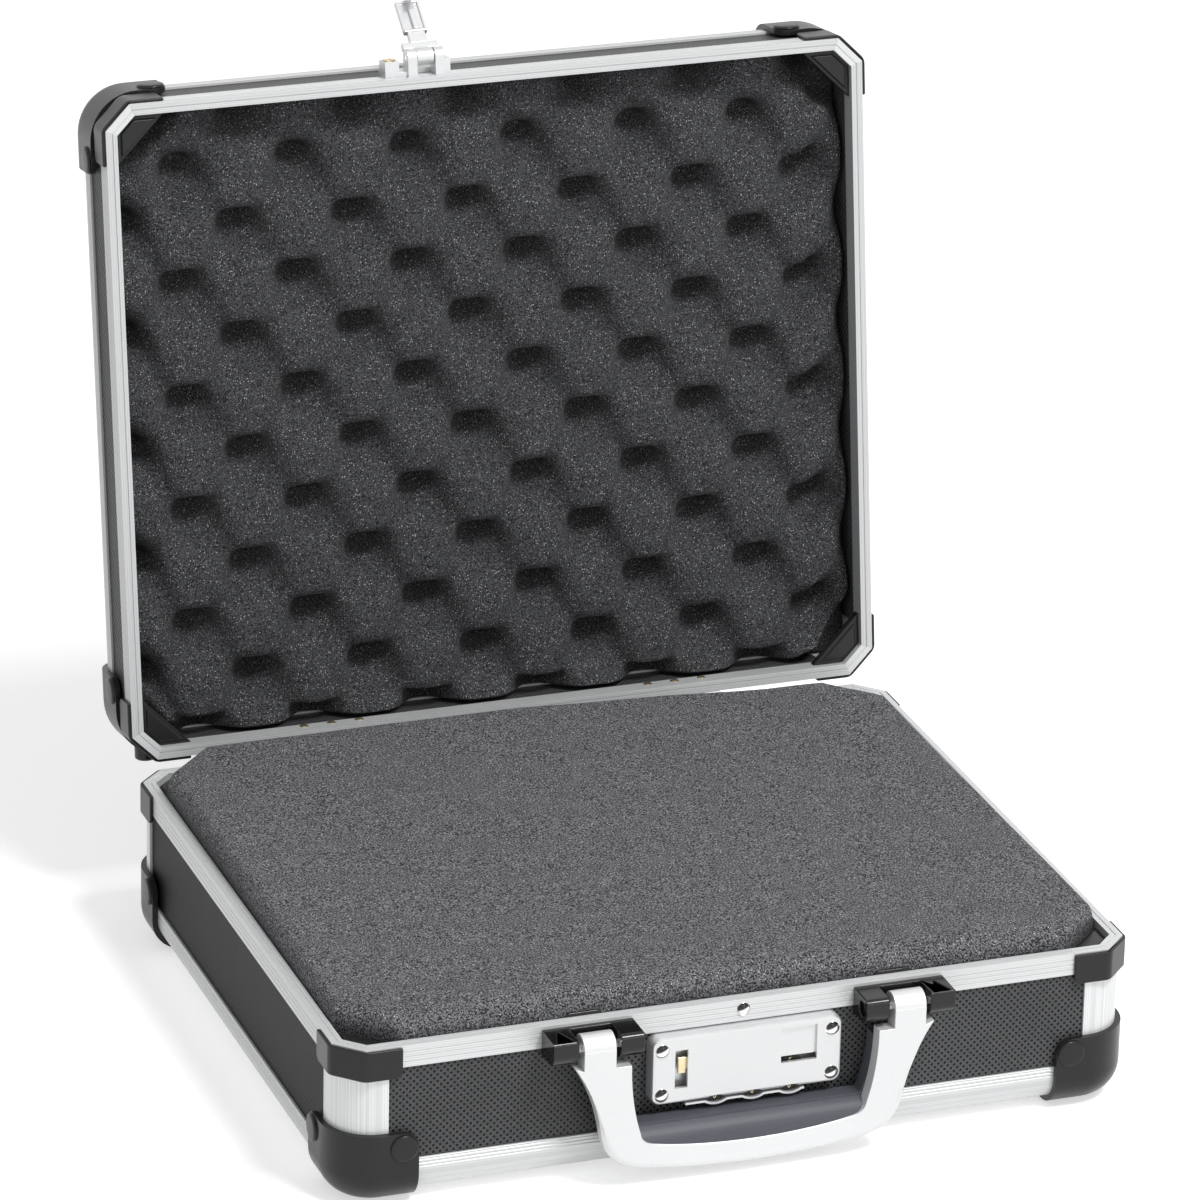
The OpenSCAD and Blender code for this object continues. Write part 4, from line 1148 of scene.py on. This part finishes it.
# One where the camera looks, also by way of a shiny or clear surface
def whiteToCamera(tree):
    path = tree.nodes.new("ShaderNodeLightPath")
    mirrored = math2(tree, "MAXIMUM", path.outputs["Is Glossy Ray"], path.outputs["Is Transmission Ray"])
    return math2(tree, "MAXIMUM", path.outputs["Is Camera Ray"], mirrored)


studio = {"floor": 0.9, "cloudy": 0.99, "floorGlow": 0.55, "worldLight": 0.38, "floorSize": 12.0,
          "floorDrop": 0.5 * mm}


def makeStage():
    bpy.ops.mesh.primitive_plane_add(size=studio["floorSize"], location=(0, 0, -studio["floorDrop"]))
    floor = activeObject()
    floor.name = "floor"
    material, tree, shader, place = startMaterial("paleFloor", Roughness=0.9, Specular_IOR_Level=0.1)
    pale = grey(studio["floor"])
    shade = placeGroup(tree, "grain", Vector=place, Colour=pale, Shade=dimmed(pale, studio["cloudy"]),
                       Grain_Scale=40.0, Cloud_Scale=2.0, Roughness=0.9, Spread=0.05)
    tree.links.new(shade.outputs["Colour"], shader.inputs["Base Color"])
    glow = math2(tree, "MULTIPLY", whiteToCamera(tree), studio["floorGlow"])
    shader.inputs["Emission Color"].default_value = grey(1)
    tree.links.new(glow, shader.inputs["Emission Strength"])
    give(floor, material)
    world = bpy.data.worlds.new("studio")
    bpy.context.scene.world = world
    world.use_nodes = True
    tree = world.node_tree
    background = tree.nodes["Background"]
    background.inputs["Color"].default_value = grey(1)
    strength = mapRange(tree, whiteToCamera(tree), 0.0, 1.0, studio["worldLight"], 1.0, False)
    tree.links.new(strength, background.inputs["Strength"])


lamps = {
    "keyLamp": {"place": (0.9, -1.7, 3.1), "aim": (0, 0, 0.1), "size": 1.0, "power": 78.0},
    "frontLamp": {"place": (1.0, -3.2, 1.4), "aim": (0, 0, 0.1), "size": 1.6, "power": 8.0},
}


def makeLamps():
    for name, look in lamps.items():
        place = Vector(look["place"])
        turn = (place - Vector(look["aim"])).to_track_quat("Z", "Y").to_euler()
        bpy.ops.object.light_add(type="AREA", location=place, rotation=turn)
        lamp = activeObject()
        lamp.name = name
        lamp.data.shape = "DISK"
        lamp.data.size = look["size"]
        lamp.data.energy = look["power"]


# The photograph's view: a long lens, a little above, turned to the left of the case
photoView = {"place": (-962.8 * mm, -2627.0 * mm, 1337.5 * mm), "azimuth": -20.141, "elevation": 22.622,
             "roll": 1.288, "lens": 218.09}


def makeCamera():
    turn = (Matrix.Rotation(math.radians(photoView["azimuth"]), 4, "Z")
            @ Matrix.Rotation(math.radians(90 - photoView["elevation"]), 4, "X")
            @ Matrix.Rotation(math.radians(photoView["roll"]), 4, "Z"))
    bpy.ops.object.camera_add(location=photoView["place"], rotation=turn.to_euler())
    camera = activeObject()
    camera.data.lens = photoView["lens"]
    camera.data.sensor_width = 36.0
    camera.data.clip_start, camera.data.clip_end = 0.1, 50.0
    bpy.context.scene.camera = camera


makeStage()
makeLamps()
makeCamera()
bpy.context.scene.view_settings.view_transform = "Standard"
print("stage: studio set")
